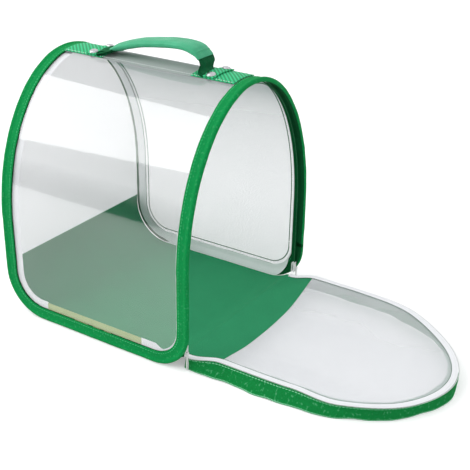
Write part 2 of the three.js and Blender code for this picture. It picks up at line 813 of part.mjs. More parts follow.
function washerGeometry() {
  const bore = rivetPostRadius + clearance;
  const profile = [
    [bore, -legInner - washerThick],
    [washerRadius, -legInner - washerThick],
    [washerRadius, -legInner],
    [bore, -legInner],
    [bore, -legInner - washerThick],
  ];
  return merged(new THREE.LatheGeometry(profile.map(([r, h]) => new THREE.Vector2(r, h)), roundSides));
}

for (const side of ['left', 'right']) {
  for (const [where, offset] of [['front', -rivetSpacing / 2], ['back', rivetSpacing / 2]]) {
    addMesh(`rivet_${side}_${where}`, ontoRidge(rivetGeometry(), rivetColumns[side], offset), 'steel');
    addMesh(`washer_${side}_${where}`, ontoRidge(washerGeometry(), rivetColumns[side], offset), 'steel');
  }
}

export default cage;
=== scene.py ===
import math

import bpy
from mathutils import Matrix, Vector, noise


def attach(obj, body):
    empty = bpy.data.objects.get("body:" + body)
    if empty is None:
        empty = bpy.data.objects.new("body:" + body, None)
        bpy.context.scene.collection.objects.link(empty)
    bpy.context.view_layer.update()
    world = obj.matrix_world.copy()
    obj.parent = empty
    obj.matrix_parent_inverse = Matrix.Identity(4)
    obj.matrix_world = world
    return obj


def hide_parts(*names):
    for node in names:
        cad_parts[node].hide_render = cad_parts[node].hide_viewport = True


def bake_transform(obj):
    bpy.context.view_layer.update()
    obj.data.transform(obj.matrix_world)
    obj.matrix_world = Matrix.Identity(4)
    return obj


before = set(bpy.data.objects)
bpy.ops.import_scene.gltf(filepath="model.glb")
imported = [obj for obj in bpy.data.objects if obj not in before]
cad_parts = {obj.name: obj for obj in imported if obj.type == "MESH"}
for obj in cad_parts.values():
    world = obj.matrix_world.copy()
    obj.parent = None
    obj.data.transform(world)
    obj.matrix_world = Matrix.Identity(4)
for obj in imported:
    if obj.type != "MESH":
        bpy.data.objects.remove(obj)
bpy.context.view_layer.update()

# Camera: a 72 mm lens a little over a metre from the cage, above it and to the right,
# turned slightly so that its right side hangs lower.
CAMERA_PLACE = (0.5938, -0.7802, 0.5487)
CAMERA_YAW = 0.5615
CAMERA_TILT = 0.4476
CAMERA_ROLL = 0.0188
CAMERA_LENS = 72

bpy.ops.object.camera_add(location=CAMERA_PLACE)
camera = bpy.context.object
camera.data.lens = CAMERA_LENS
camera.data.sensor_width = 36
aim = Matrix.Rotation(CAMERA_YAW, 3, "Z") @ Matrix.Rotation(math.pi / 2 - CAMERA_TILT, 3, "X")
camera.rotation_euler = (aim @ Matrix.Rotation(CAMERA_ROLL, 3, "Z")).to_euler()
bpy.context.scene.camera = camera

# Studio: a white table, one large softbox to the front left, whose reflection makes the white
# band on the window, and a dark card outside the picture, whose reflection makes the dim gap
# below the band. Table and room show white, and the table still takes the cage's shadow.
TABLE_LENGTH = 6
TABLE_WIDTH = 6
TABLE_LEFT = -1.8
TABLE_FRONT = -1.5
TABLE_LEVEL = -0.0004
TABLE_COLOUR = (0.80, 0.80, 0.80, 1)
TABLE_GLOW = 0.34
TABLE_ROUGHNESS = 0.7
CARD_BLACK = (0.01, 0.01, 0.01, 1)
CARD_MIDDLE = (-0.90, -1.05)
CARD_WIDTH = 1.6
CARD_HEIGHT = 0.36
CARD_FADES_FROM = 0.40
CARD_COVER = 0.95
ROOM_SHADES = ((0.12, 0.12), (0.28, 0.95), (0.80, 0.95), (1.0, 0.85))
WINDOW_MIDDLE = Vector((0, -0.08, 0.23))
SOFTBOX_SIDE = Vector((-0.679, -0.441, 0.588))
SOFTBOX_UP = Vector((0, 0.80, 0.60))
SOFTBOX_DISTANCE = 1.3
SOFTBOX_WIDTH = 1.7
SOFTBOX_HEIGHT = 1.12
SOFTBOX_POWER = 13


def only(piece):
    """Makes one piece the only one that operators act on."""
    bpy.ops.object.select_all(action="DESELECT")
    piece.select_set(True)
    bpy.context.view_layer.objects.active = piece


def settle(piece):
    """Puts a piece's place into its mesh, so that its object sits at the origin."""
    only(piece)
    bpy.ops.object.transform_apply(location=True, rotation=True, scale=True)


def fill(tree, node, values):
    """Sets a node's inputs, each by its name or as i and its number, or links those given as sockets."""
    for key, value in values.items():
        socket = node.inputs[int(key[1:])] if key[0] == "i" and key[1:].isdigit() else node.inputs[key]
        if isinstance(value, bpy.types.NodeSocket):
            tree.links.new(value, socket)
        else:
            socket.default_value = value
    return node


def put(tree, kind, **values):
    """Adds a node and fills its inputs."""
    return fill(tree, tree.nodes.new(kind), values)


def work(tree, kind, *given):
    """A math node on values or sockets. Gives its result."""
    node = tree.nodes.new("ShaderNodeMath")
    node.operation = kind
    return fill(tree, node, {"i%d" % i: value for i, value in enumerate(given)}).outputs[0]


def mix_colours(tree, share, first, second):
    """Goes from the first colour to the second by a share."""
    mix = tree.nodes.new("ShaderNodeMix")
    mix.data_type = "RGBA"
    return fill(tree, mix, {"Factor": share, "i6": first, "i7": second}).outputs[2]


def shader_of(material):
    """The inputs of the material's own shader."""
    return material.node_tree.nodes["Principled BSDF"].inputs


def new_material(name, colour, roughness, specular=0.5):
    """A Principled material with its plain values set."""
    made = bpy.data.materials.new(name)
    made.use_nodes = True
    shader_of(made)["Base Color"].default_value = colour
    shader_of(made)["Roughness"].default_value = roughness
    shader_of(made)["Specular IOR Level"].default_value = specular
    return made


def feed(material, name, socket):
    """Links a socket to an input of the material's own shader."""
    material.node_tree.links.new(socket, shader_of(material)[name])


def seen_directly(tree):
    """One for a ray from the camera, also when it comes by way of a mirror or a clear pane."""
    rays = put(tree, "ShaderNodeLightPath").outputs
    mirrored = work(tree, "MAXIMUM", rays["Is Camera Ray"], rays["Is Glossy Ray"])
    return work(tree, "MAXIMUM", mirrored, rays["Is Transmission Ray"])


def studio_card(name, middle, width, height, turn, material):
    """A flat card that belongs to the studio and is no part of the cage."""
    bpy.ops.mesh.primitive_plane_add(size=1, location=middle, rotation=(turn, 0, 0))
    card = bpy.context.object
    card.name = name
    card.scale = (width, height, 1)
    settle(card)
    card.data.materials.append(material)
    return card


table_white = new_material("table white", TABLE_COLOUR, TABLE_ROUGHNESS)
shader_of(table_white)["Emission Color"].default_value = (1, 1, 1, 1)
tree = table_white.node_tree
feed(table_white, "Emission Strength", work(tree, "MULTIPLY", seen_directly(tree), TABLE_GLOW))
studio_card("table", (TABLE_LEFT + TABLE_LENGTH / 2, TABLE_FRONT + TABLE_WIDTH / 2, TABLE_LEVEL),
            TABLE_LENGTH, TABLE_WIDTH, 0, table_white)

card_black = new_material("dark card", CARD_BLACK, 0.5, 0.0)
tree = card_black.node_tree
rise = put(tree, "ShaderNodeSeparateXYZ", i0=put(tree, "ShaderNodeTexCoord").outputs["Object"]).outputs["Z"]
fade = put(tree, "ShaderNodeMapRange", i0=rise, i1=TABLE_LEVEL + CARD_FADES_FROM * CARD_HEIGHT,
           i2=TABLE_LEVEL + CARD_HEIGHT, i3=CARD_COVER, i4=0.0)
feed(card_black, "Alpha", fade.outputs[0])
dark_card = studio_card("dark_card", (*CARD_MIDDLE, TABLE_LEVEL + CARD_HEIGHT / 2), CARD_WIDTH, CARD_HEIGHT,
                        math.pi / 2, card_black)
dark_card.visible_camera = False

side = SOFTBOX_SIDE.normalized()
across = SOFTBOX_UP.cross(side).normalized()
aim = Matrix((across, side.cross(across), side)).transposed()
bpy.ops.object.light_add(type="AREA", location=WINDOW_MIDDLE + side * SOFTBOX_DISTANCE)
softbox = bpy.context.object
softbox.name = "softbox"
softbox.data.shape = "RECTANGLE"
softbox.data.size = SOFTBOX_WIDTH
softbox.data.size_y = SOFTBOX_HEIGHT
softbox.data.energy = SOFTBOX_POWER
softbox.rotation_euler = aim.to_euler()

room = bpy.data.worlds.new("room")
room.use_nodes = True
tree = room.node_tree
height = put(tree, "ShaderNodeSeparateXYZ", i0=put(tree, "ShaderNodeTexCoord").outputs["Generated"])
walls = put(tree, "ShaderNodeValToRGB", Fac=height.outputs["Z"])
while len(walls.color_ramp.elements) < len(ROOM_SHADES):
    walls.color_ramp.elements.new(0.5)
for stop, (place, shade) in zip(walls.color_ramp.elements, ROOM_SHADES):
    stop.position = place
    stop.color = (shade, shade, shade * 1.02, 1)
shown = mix_colours(tree, seen_directly(tree), walls.outputs["Color"], (1, 1, 1, 1))
tree.links.new(shown, tree.nodes["Background"].inputs["Color"])
bpy.context.scene.world = room
bpy.context.scene.view_settings.view_transform = "Standard"

# Main sheet: one wide piece sewn flat and then bent over as a tunnel, clear vinyl from the
# front hem to the ridge and white net from the ridge to the back hem.
LENGTH = 0.250
HALF_WIDTH = 0.119
SIDE_HEIGHT = 0.110
CROWN_RISE = 0.1715
LEFT_ROUND = 0.050
RIGHT_ROUND = 0.045
ROUND_HANDLE = 0.5523
MM = 0.001
SHEET_INSET = 0.0052
SHEET_THICK = 0.0005
SHEET_STEP = 0.008
ROUND_STEPS = 10
VINYL_COLOUR = (0.10, 0.11, 0.13, 1)
VINYL_ROUGHNESS = 0.07
VINYL_INDEX = 8.0
VINYL_HAZE = (0.18, 0.22)
VINYL_RIM = 0.2
VINYL_SHADES = 0.25
NET_COLOUR = (0.71, 0.73, 0.75, 1)
NET_PITCH = 0.0011
NET_THREAD = 0.31
NET_CLOSING = 3.0
NET_SLANT = 4.0
NET_CLOSED = 0.95
NET_SHADES = 0.6
THREAD_WAVE = 0.35
THREAD_LEVEL = 0.6


def apply_modifier(piece, kind, **settings):
    only(piece)
    modifier = piece.modifiers.new(kind.title(), kind)
    for name, value in settings.items():
        setattr(modifier, name, value)
    bpy.ops.object.modifier_apply(modifier=modifier.name)


def flat_curve(name, points):
    """A flat curve through (place, handle before, handle after), each given as two numbers."""
    data = bpy.data.curves.new(name, "CURVE")
    data.dimensions = "2D"
    data.resolution_u = 48
    spline = data.splines.new("BEZIER")
    spline.bezier_points.add(len(points) - 1)
    for point, (place, before, after) in zip(spline.bezier_points, points):
        point.handle_left_type = "FREE"
        point.handle_right_type = "FREE"
        point.co = (*place, 0)
        point.handle_left = (*before, 0)
        point.handle_right = (*after, 0)
    curve = bpy.data.objects.new(name, data)
    bpy.context.scene.collection.objects.link(curve)
    curve.hide_render = True
    return curve


# The arch as across and up, from front to back: straight side, half ellipse, straight side.
top, short = SIDE_HEIGHT + CROWN_RISE, SIDE_HEIGHT / 3
crown_across, crown_up = ROUND_HANDLE * HALF_WIDTH, ROUND_HANDLE * CROWN_RISE
arch = flat_curve("arch", [
    ((-HALF_WIDTH, 0), (-HALF_WIDTH, -short), (-HALF_WIDTH, short)),
    ((-HALF_WIDTH, SIDE_HEIGHT), (-HALF_WIDTH, SIDE_HEIGHT - short), (-HALF_WIDTH, SIDE_HEIGHT + crown_up)),
    ((0, top), (-crown_across, top), (crown_across, top)),
    ((HALF_WIDTH, SIDE_HEIGHT), (HALF_WIDTH, SIDE_HEIGHT + crown_up), (HALF_WIDTH, SIDE_HEIGHT - short)),
    ((HALF_WIDTH, 0), (HALF_WIDTH, short), (HALF_WIDTH, -short)),
])
GIRTH = arch.data.splines[0].calc_length()
STAND_UP = Matrix(((0, 0, 1, 0), (1, 0, 0, 0), (0, 1, 0, 0), (0, 0, 0, 1)))


def bend_over(piece, curve, stand=STAND_UP):
    """Bends a flat piece so that its Y runs along a curve, and stands it up, across the cage by default."""
    apply_modifier(piece, "CURVE", object=curve, deform_axis="POS_Y")
    piece.matrix_world = stand
    settle(piece)


def map_flat(piece):
    """Writes the UV map in metres from the pattern, while it still lies flat."""
    layer = piece.data.uv_layers.active or piece.data.uv_layers.new(name="UVMap")
    for loop in piece.data.loops:
        layer.data[loop.index].uv = piece.data.vertices[loop.vertex_index].co.xy


def work_on_all(piece, *steps):
    """Runs steps of mesh work on a piece, each with all of it selected."""
    only(piece)
    bpy.ops.object.mode_set(mode="EDIT")
    for step in steps:
        bpy.ops.mesh.select_all(action="SELECT")
        step()
    bpy.ops.object.mode_set(mode="OBJECT")


def slice_across(piece, start, end, step):
    """Cuts a flat piece into even strips along Y, so that it can bend."""
    count = max(1, round((end - start) / step))
    places = [(0, start + (end - start) * i / count, 0) for i in range(1, count)]
    work_on_all(piece, *[lambda place=place: bpy.ops.mesh.bisect(plane_co=place, plane_no=(0, 1, 0))
                         for place in places])


def smooth(piece, angle=40):
    only(piece)
    bpy.ops.object.shade_smooth_by_angle(angle=math.radians(angle))


def cut_half_sheet(name, from_girth, to_girth, hem):
    """A rectangle from hem to ridge, with round corners at its hem, cut into strips and bent over."""
    middle = (from_girth + to_girth) / 2
    bpy.ops.mesh.primitive_plane_add(size=1, location=(0, middle, 0))
    sheet = bpy.context.object
    sheet.name = name
    sheet.scale = (LENGTH - 2 * SHEET_INSET, to_girth - from_girth, 1)
    settle(sheet)
    for side, radius in ((-1, LEFT_ROUND), (1, RIGHT_ROUND)):
        bpy.ops.object.mode_set(mode="EDIT")
        bpy.ops.mesh.select_mode(type="VERT")
        bpy.ops.mesh.select_all(action="DESELECT")
        bpy.ops.object.mode_set(mode="OBJECT")
        for vertex in sheet.data.vertices:
            vertex.select = vertex.co.x * side > 0 and abs(vertex.co.y - hem) < MM
        bpy.ops.object.mode_set(mode="EDIT")
        bpy.ops.mesh.bevel(affect="VERTICES", offset=radius - SHEET_INSET, segments=ROUND_STEPS)
        bpy.ops.object.mode_set(mode="OBJECT")
    slice_across(sheet, from_girth, to_girth, SHEET_STEP)
    map_flat(sheet)
    apply_modifier(sheet, "SOLIDIFY", thickness=SHEET_THICK, offset=0)
    bend_over(sheet, arch)
    smooth(sheet)
    return sheet


window = cut_half_sheet("window_film", SHEET_INSET, GIRTH / 2, SHEET_INSET)
back_net = cut_half_sheet("back_net", GIRTH / 2, GIRTH - SHEET_INSET, GIRTH - SHEET_INSET)


def new_group(name, outputs, **inputs):
    """An empty shader node group. Its inputs are given with their plain values."""
    group = bpy.data.node_groups.new(name, "ShaderNodeTree")
    for label, value in inputs.items():
        kind = "Color" if label in ("Light", "Dark") else "Vector" if label == "Vector" else "Float"
        socket = group.interface.new_socket(label, in_out="INPUT", socket_type="NodeSocket" + kind)
        socket.default_value = value
    for label in outputs:
        kind = "Color" if label == "Color" else "Float"
        group.interface.new_socket(label, in_out="OUTPUT", socket_type="NodeSocket" + kind)
    return group, group.nodes.new("NodeGroupInput").outputs, group.nodes.new("NodeGroupOutput").inputs


def make_weave_group():
    """Plain weave: two crossed sets of threads, which pass over and under each other."""
    group, given, out = new_group("plain weave", ("Height", "Threads"), Vector=(0, 0, 0), Pitch=MM,
                                  Thread=0.8)
    parts = put(group, "ShaderNodeSeparateXYZ", Vector=given["Vector"]).outputs
    heights, masks = [], []
    for along, across, start in (("X", "Y", 0.5), ("Y", "X", 1.5)):
        turn = work(group, "DIVIDE", parts[across], given["Pitch"])
        off_middle = work(group, "SUBTRACT", work(group, "FRACT", turn), 0.5)
        half = work(group, "MULTIPLY", given["Thread"], 0.5)
        share = work(group, "DIVIDE", work(group, "ABSOLUTE", off_middle), half)
        round_top = work(group, "SUBTRACT", 1.0, work(group, "MULTIPLY", share, share))
        mask = work(group, "LESS_THAN", share, 1.0)
        run = work(group, "DIVIDE", parts[along], given["Pitch"])
        both = work(group, "ADD", run, work(group, "FLOOR", turn))
        angle = work(group, "MULTIPLY", work(group, "ADD", both, start), math.pi)
        lift = work(group, "MULTIPLY_ADD", work(group, "SINE", angle), THREAD_WAVE, THREAD_LEVEL)
        heights.append(work(group, "MULTIPLY", work(group, "MULTIPLY", round_top, lift), mask))
        masks.append(mask)
    group.links.new(work(group, "MAXIMUM", *heights), out["Height"])
    group.links.new(work(group, "MAXIMUM", *masks), out["Threads"])
    return group


weave = make_weave_group()


def place_group(material, group, **values):
    """Places a node group in a material and sets or links its inputs."""
    node = material.node_tree.nodes.new("ShaderNodeGroup")
    node.node_tree = group
    return fill(material.node_tree, node, values).outputs


def bump_from(material, height, strength, distance):
    """Feeds a height to the material's normal."""
    bump = put(material.node_tree, "ShaderNodeBump", Strength=strength, Distance=distance, Height=height)
    feed(material, "Normal", bump.outputs["Normal"])


def pattern_place(material, space="UV"):
    return put(material.node_tree, "ShaderNodeTexCoord").outputs[space]


def mottle(tree, place, scale, detail=2.0):
    """Soft random unevenness, from 0 to 1."""
    return put(tree, "ShaderNodeTexNoise", Vector=place, Scale=scale, Detail=detail).outputs["Fac"]


def dress(piece, material, body, slot, *stands_for):
    """Gives a piece its material and its body, and hides the nodes that it stands for."""
    piece.data.materials.append(material)
    if body:
        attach(piece, body)
    if stands_for:
        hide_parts(*stands_for)


def let_light_in(material, cover, kept):
    """Feeds a cover to the near face's alpha, of which only a kept share stands in the way of light."""
    tree = material.node_tree
    rays = put(tree, "ShaderNodeLightPath").outputs
    light = work(tree, "MAXIMUM", rays["Is Shadow Ray"], rays["Is Diffuse Ray"])
    loss = work(tree, "MULTIPLY_ADD", light, kept - 1, 1.0)
    near = work(tree, "SUBTRACT", 1.0, put(tree, "ShaderNodeNewGeometry").outputs["Backfacing"])
    feed(material, "Alpha", work(tree, "MULTIPLY", work(tree, "MULTIPLY", cover, near), loss))


vinyl = new_material("soft clear vinyl", VINYL_COLOUR, VINYL_ROUGHNESS)
shader_of(vinyl)["IOR"].default_value = VINYL_INDEX
tree = vinyl.node_tree
haze = mottle(tree, pattern_place(vinyl), 9.0, 3.0)
cloud = put(tree, "ShaderNodeMapRange", i0=haze, i3=VINYL_HAZE[0], i4=VINYL_HAZE[1]).outputs[0]
rim = put(tree, "ShaderNodeLayerWeight", Blend=0.25).outputs["Fresnel"]
let_light_in(vinyl, work(tree, "MULTIPLY_ADD", rim, VINYL_RIM, cloud), VINYL_SHADES)
bump_from(vinyl, mottle(tree, pattern_place(vinyl), 14.0, 1.0), 0.10, 0.002)
dress(window, vinyl, "cage_body", "clear_film", "front_window")

net = new_material("white net", NET_COLOUR, 0.8, 0.3)
net_weave = place_group(net, weave, Vector=pattern_place(net), Pitch=NET_PITCH, Thread=NET_THREAD)
slant = put(net.node_tree, "ShaderNodeLayerWeight", Blend=0.5).outputs["Facing"]
closing = work(net.node_tree, "POWER", slant, NET_CLOSING)
cover = work(net.node_tree, "MULTIPLY_ADD", closing, NET_SLANT, net_weave["Threads"])
let_light_in(net, work(net.node_tree, "MINIMUM", cover, NET_CLOSED), NET_SHADES)
bump_from(net, net_weave["Height"], 0.5, 0.0002)
dress(back_net, net, "cage_body", "white_mesh", "back_panel")

# Edge binding: one green woven tape folded over the sheet's edge all round, with the sprung
# wire loop in its fold, and sewn through both legs with thread of the same green.
BINDING_WIDTH = 0.014
BINDING_THICK = 0.0007
FOLD_RADIUS = 0.00225
LEG_LEVEL = 0.00095
TAPE_STEP = 0.004
JOIN_GAP = 0.00002
BINDING_STITCH_INSET = 0.0118
STITCH_PITCH = 0.0034
RUN_START = 0.006
STITCH_LENGTH = 0.0026
STITCH_RADIUS = 0.00026
BINDING_GREEN = (0.003, 0.32, 0.078, 1)
BINDING_DARK = (0.003, 0.20, 0.045, 1)
THREAD_GREEN = (0.06, 0.56, 0.22, 1)
# Pale green of the glints: painted highlights.
GLINT_GREEN = (0.20, 0.70, 0.38, 1)
# Darker copy of the binding green for faces turned into the cage: painted shade.
SHADED_INNER_GREEN = (0.003, 0.105, 0.030, 1)
SHADED_INNER_DARK = (0.002, 0.055, 0.016, 1)
PATCH_SCALE = 38.0
GRAIN_SCALE = 620.0
SPOT_SCALE = 330.0
SPOT_RANGE = (0.58, 0.70)
# Darkening of the rib valleys: painted shade.
VALLEY_SHADE = 0.3
GRAIN_DARK = 1.3


def edge_path(name, inset):
    """The sheet's outline while flat, drawn in by an inset, from the foot of the right arch at the back."""
    left, right = -LENGTH / 2 + inset, LENGTH / 2 - inset
    front, back = inset, GIRTH - inset
    big, small = LEFT_ROUND - inset, RIGHT_ROUND - inset
    corners = [
        ((left, back), big, (-1, 0), (0, -1)),
        ((left, front), big, (0, -1), (1, 0)),
        ((right, front), small, (1, 0), (0, 1)),
        ((right, back), small, (0, 1), (-1, 0)),
    ]
    step = 0.03
    points = []
    for corner, radius, coming, going in corners:
        corner, coming, going = Vector(corner), Vector(coming), Vector(going)
        reach = radius * (1 - ROUND_HANDLE)
        start, end = corner - coming * radius, corner + going * radius
        points.append((start, start - coming * step, corner - coming * reach))
        points.append((end, corner + going * reach, end + going * step))
    begin = (right, back - small - RUN_START)
    near = (right, back - small - RUN_START / 2)
    first = (begin, (right, back - small - RUN_START - step), near)
    last_corner = (points[-2][0], near, points[-2][2])
    return flat_curve(name, [first, last_corner, points[-1], *points[:-2], first])


def sew_along(piece, path):
    """Lays a strip on a path: its X runs along the path and its Y to the path's left."""
    apply_modifier(piece, "CURVE", object=path, deform_axis="POS_X")


def tape_strip(name, from_x, to_x, from_y, to_y, level, thick, step=TAPE_STEP, rows=4):
    """A flat strip of tape with its UV map in metres, ready to be folded, sewn on or bent."""
    bpy.ops.mesh.primitive_grid_add(
        x_subdivisions=max(1, round((to_x - from_x) / step)), y_subdivisions=rows, size=1,
        location=((from_x + to_x) / 2, (from_y + to_y) / 2, level),
    )
    strip = bpy.context.object
    strip.name = name
    strip.scale = (to_x - from_x, to_y - from_y, 1)
    settle(strip)
    map_flat(strip)
    apply_modifier(strip, "SOLIDIFY", thickness=thick, offset=0)
    return strip


def crumple(piece, strength, size, name):
    """Gives cloth the small unevenness that it has from being sewn and handled."""
    cloud_texture = bpy.data.textures.new(name, "CLOUDS")
    cloud_texture.noise_scale = size
    apply_modifier(piece, "DISPLACE", texture=cloud_texture, strength=strength, mid_level=0.5,
                   texture_coords="LOCAL")


one_leg = [
    [(BINDING_WIDTH, LEG_LEVEL), (BINDING_WIDTH + MM, LEG_LEVEL), (BINDING_WIDTH - MM, LEG_LEVEL)],
    [(2.6 * FOLD_RADIUS, LEG_LEVEL), (3.2 * FOLD_RADIUS, LEG_LEVEL), (2.2 * FOLD_RADIUS, LEG_LEVEL)],
    [(1.15 * FOLD_RADIUS, FOLD_RADIUS), (1.6 * FOLD_RADIUS, FOLD_RADIUS), (0.5 * FOLD_RADIUS, FOLD_RADIUS)],
]
lower_leg = [[(x, -z) for x, z in point] for point in one_leg]
edge = ((0.35 * MM, 0), (0.35 * MM, -0.6 * FOLD_RADIUS), (0.35 * MM, 0.6 * FOLD_RADIUS))
upper_leg = [(place, after, before) for place, before, after in reversed(one_leg)]
fold_curve = flat_curve("fold", [*lower_leg, edge, *upper_leg])
fold_length = fold_curve.data.splines[0].calc_length()
outline_path = edge_path("outline", 0)
EDGE_LENGTH = outline_path.data.splines[0].calc_length()

binding = tape_strip("edge_binding", 0, EDGE_LENGTH, 0, fold_length, 0, BINDING_THICK, rows=26)
bend_over(binding, fold_curve)
sew_along(binding, outline_path)
work_on_all(binding, lambda: bpy.ops.mesh.remove_doubles(threshold=JOIN_GAP))
bend_over(binding, arch)
crumple(binding, 0.0007, 0.016, "binding crumple")
smooth(binding, 60)


def make_tape_group():
    """Ribbed tape: close ribs across, slow changes of tone along it, painted shade in the rib valleys and
    painted pale glints.
    """
    group, given, out = new_group("ribbed tape", ("Color", "Height"), Vector=(0, 0, 0), Light=(1, 1, 1, 1),
                                  Dark=(0, 0, 0, 1), Rib=MM, Uneven=0.5, Glint=0.0)
    parts = put(group, "ShaderNodeSeparateXYZ", Vector=given["Vector"]).outputs
    turn = work(group, "DIVIDE", parts["X"], given["Rib"])
    wave = work(group, "SINE", work(group, "MULTIPLY", turn, 2 * math.pi))
    rib = work(group, "MULTIPLY_ADD", wave, 0.5, 0.5)
    patch = mottle(group, given["Vector"], PATCH_SCALE, 4.0)
    grain = mottle(group, given["Vector"], GRAIN_SCALE, 3.0)
    blend = work(group, "MULTIPLY", patch, given["Uneven"])
    # The valleys between the ribs are darkened: painted shade.
    valley_shade = work(group, "MULTIPLY_ADD", rib, -VALLEY_SHADE, VALLEY_SHADE)
    fleck = work(group, "MULTIPLY_ADD", grain, GRAIN_DARK, -0.6)
    shade = work(group, "ADD", work(group, "ADD", blend, valley_shade), fleck)
    yarn = mix_colours(group, shade, given["Light"], given["Dark"])
    # Pale glints in random spots: painted highlights of the shiny tape.
    spot = mottle(group, given["Vector"], SPOT_SCALE)
    bright = put(group, "ShaderNodeMapRange", i0=spot, i1=SPOT_RANGE[0], i2=SPOT_RANGE[1]).outputs[0]
    glint = work(group, "MULTIPLY", bright, given["Glint"])
    group.links.new(mix_colours(group, glint, yarn, GLINT_GREEN), out["Color"])
    group.links.new(work(group, "MULTIPLY_ADD", grain, 0.6, rib), out["Height"])
    return group


ribbed_tape = make_tape_group()


def tape_material(name, light, dark, rib, roughness=0.7, uneven=0.5, glint=0.0):
    """Woven tape or cloth, whose ribs and shade follow its own UV map."""
    made = new_material(name, light, roughness, 0.07)
    outs = place_group(made, ribbed_tape, Vector=pattern_place(made), Light=light, Dark=dark,
                       Rib=rib, Uneven=uneven, Glint=glint)
    feed(made, "Base Color", outs["Color"])
    bump_from(made, outs["Height"], 0.45, 0.00025)
    return made


binding_green = tape_material("green binding tape", BINDING_GREEN, BINDING_DARK, 0.0008, glint=0.15)
dress(binding, binding_green, "cage_body", "green_tape",
      "left_arch_binding", "right_arch_binding", "front_hem_binding", "back_hem_binding")
# The inner leg takes the darker copy of the binding green: painted shade inside the cage.
binding.data.materials.append(tape_material("inner leg of the binding in painted shade", SHADED_INNER_GREEN, SHADED_INNER_DARK, 0.0008))
pattern = binding.data.uv_layers.active.data
for face in binding.data.polygons:
    face.material_index = int(pattern[face.loop_start].uv.y < 0.4 * fold_length)


def repeat_along(piece, name, count, pitch):
    """Repeats one small piece along X, as often as is given."""
    piece.name = name
    settle(piece)
    apply_modifier(piece, "ARRAY", count=count, use_relative_offset=False, use_constant_offset=True,
                   constant_offset_displace=(pitch, 0, 0))
    only(piece)
    bpy.ops.object.shade_smooth()


def stitch_row(name, length, y, level, start=0, pitch=STITCH_PITCH, long=STITCH_LENGTH,
               radius=STITCH_RADIUS):
    """A flat row of stitches along X: one small rounded stitch, repeated."""
    bpy.ops.mesh.primitive_uv_sphere_add(segments=6, ring_count=4, radius=1,
                                         location=(start + pitch / 2, y, level))
    row = bpy.context.object
    row.rotation_euler = (0, math.pi / 2, 0)
    row.scale = (radius, radius * 1.3, long / 2)
    repeat_along(row, name, max(1, int(length / pitch)), pitch)
    return row


def thread_material(name, colour):
    """Twisted sewing thread."""
    made = new_material(name, colour, 0.55, 0.4)
    twist = put(made.node_tree, "ShaderNodeTexWave", Vector=pattern_place(made, "Object"), Scale=900.0)
    bump_from(made, twist.outputs["Fac"], 0.4, 0.0001)
    return made


green_thread = thread_material("green thread", THREAD_GREEN)
leg_surface = LEG_LEVEL + BINDING_THICK / 2
for where, level in (("outside", leg_surface), ("inside", -leg_surface)):
    path = edge_path("stitch_path_" + where, BINDING_STITCH_INSET)
    row = stitch_row("binding_stitches_" + where, path.data.splines[0].calc_length(), 0, level)
    sew_along(row, path)
    bend_over(row, arch)
    dress(row, green_thread, "cage_body", "green_tape")
    bpy.data.objects.remove(path)

# Sprung wire loop and the crimped sleeve that closes it: plated spring steel. It runs all round in
# the binding's fold, and its spring holds the arches up.
STEEL_COLOUR = (0.55, 0.56, 0.58, 1)


def metal_material(name, colour, roughness, metallic, chips):
    """Metal, or enamel on metal, with fine scratches and small chips in its gloss."""
    made = new_material(name, colour, roughness)
    shader_of(made)["Metallic"].default_value = metallic
    scratches = mottle(made.node_tree, pattern_place(made, "Object"), 900.0, 3.0)
    feed(made, "Roughness", work(made.node_tree, "MULTIPLY_ADD", scratches, chips, roughness))
    bump_from(made, scratches, 0.15, 0.00005)
    return made


def coat(material, *nodes):
    """Gives pieces of the CAD a new material."""
    for node in nodes:
        bpy.data.objects[node].material_slots[0].material = material


steel = metal_material("bright plated steel", STEEL_COLOUR, 0.18, 1.0, 0.2)
coat(steel, "frame_wire", "wire_ferrule")

# Inner seam tape: white woven tape over the binding's raw edge inside, in two runs, sewn on. Along
# the net half a line of green overlock thread holds its free edge. Between the runs a see-through
# yellowish tape lies along the front hem.
OVERLOCK_AT = 0.0192
SEAM_TAPE_THICK = 0.0003
LEFT_TAPE_FROM = 0.0008
LEFT_TAPE_TO = 0.0152
FRONT_TAPE_TO = 0.0225
LEFT_TAPE_LEVEL = -0.0018
RIGHT_TAPE_FROM = 0.0141
RIGHT_TAPE_TO = 0.0158
RIGHT_TAPE_LEVEL = -0.0008
FILM_LEFT = -0.0677
FILM_RIGHT = 0.0637
FILM_FROM = 0.0125
FILM_TO = 0.0222
TAPE_WHITE = (0.90, 0.905, 0.92, 1)
TAPE_SHADE = (0.78, 0.80, 0.82, 1)
OVERLOCK_GREEN = (0.012, 0.12, 0.05, 1)
FILM_COLOUR = (0.46, 0.47, 0.28, 1)
FILM_DARK = (0.33, 0.47, 0.15, 1)
FILM_LIGHT = (0.52, 0.58, 0.25, 1)
FILM_COVER = 0.85
LEFT_RUN_WIDENS = (0.030, 0.065)
HEM_END = (0.220, 0.240)
HEM_ROLL = 0.0011
ROLL_EDGE = (0.005, 0.008)
RIDGE_BLEND = 0.020
FILM_BLEND = (0.022, 0.034)
OVERLOCK_PITCH = 0.0024
OVERLOCK_RADIUS = 0.0006

white_tape = tape_material("white woven tape", TAPE_WHITE, TAPE_SHADE, 0.0012, uneven=0.35)
front_middle = (RUN_START + 1.5 * LENGTH + GIRTH + (math.pi - 4) * LEFT_ROUND
                + (math.pi / 2 - 1) * RIGHT_ROUND)
ridge_place = front_middle - 0.5 * LENGTH - 0.5 * GIRTH - (math.pi / 2 - 2) * LEFT_ROUND
right_ridge = EDGE_LENGTH - 0.5 * GIRTH + RIGHT_ROUND + RUN_START
overlock = thread_material("dark green overlock thread", OVERLOCK_GREEN)


def reshape(piece, rule):
    """Moves every point of a piece by a rule, as cloth is pulled into shape by hand."""
    for vertex in piece.data.vertices:
        vertex.co = rule(*vertex.co)
    piece.data.update()


def share_between(low, high, value):
    """How far a value has come from low, where it counts 0, to high, where it counts 1."""
    return min(1, max(0, (value - low) / (high - low)))


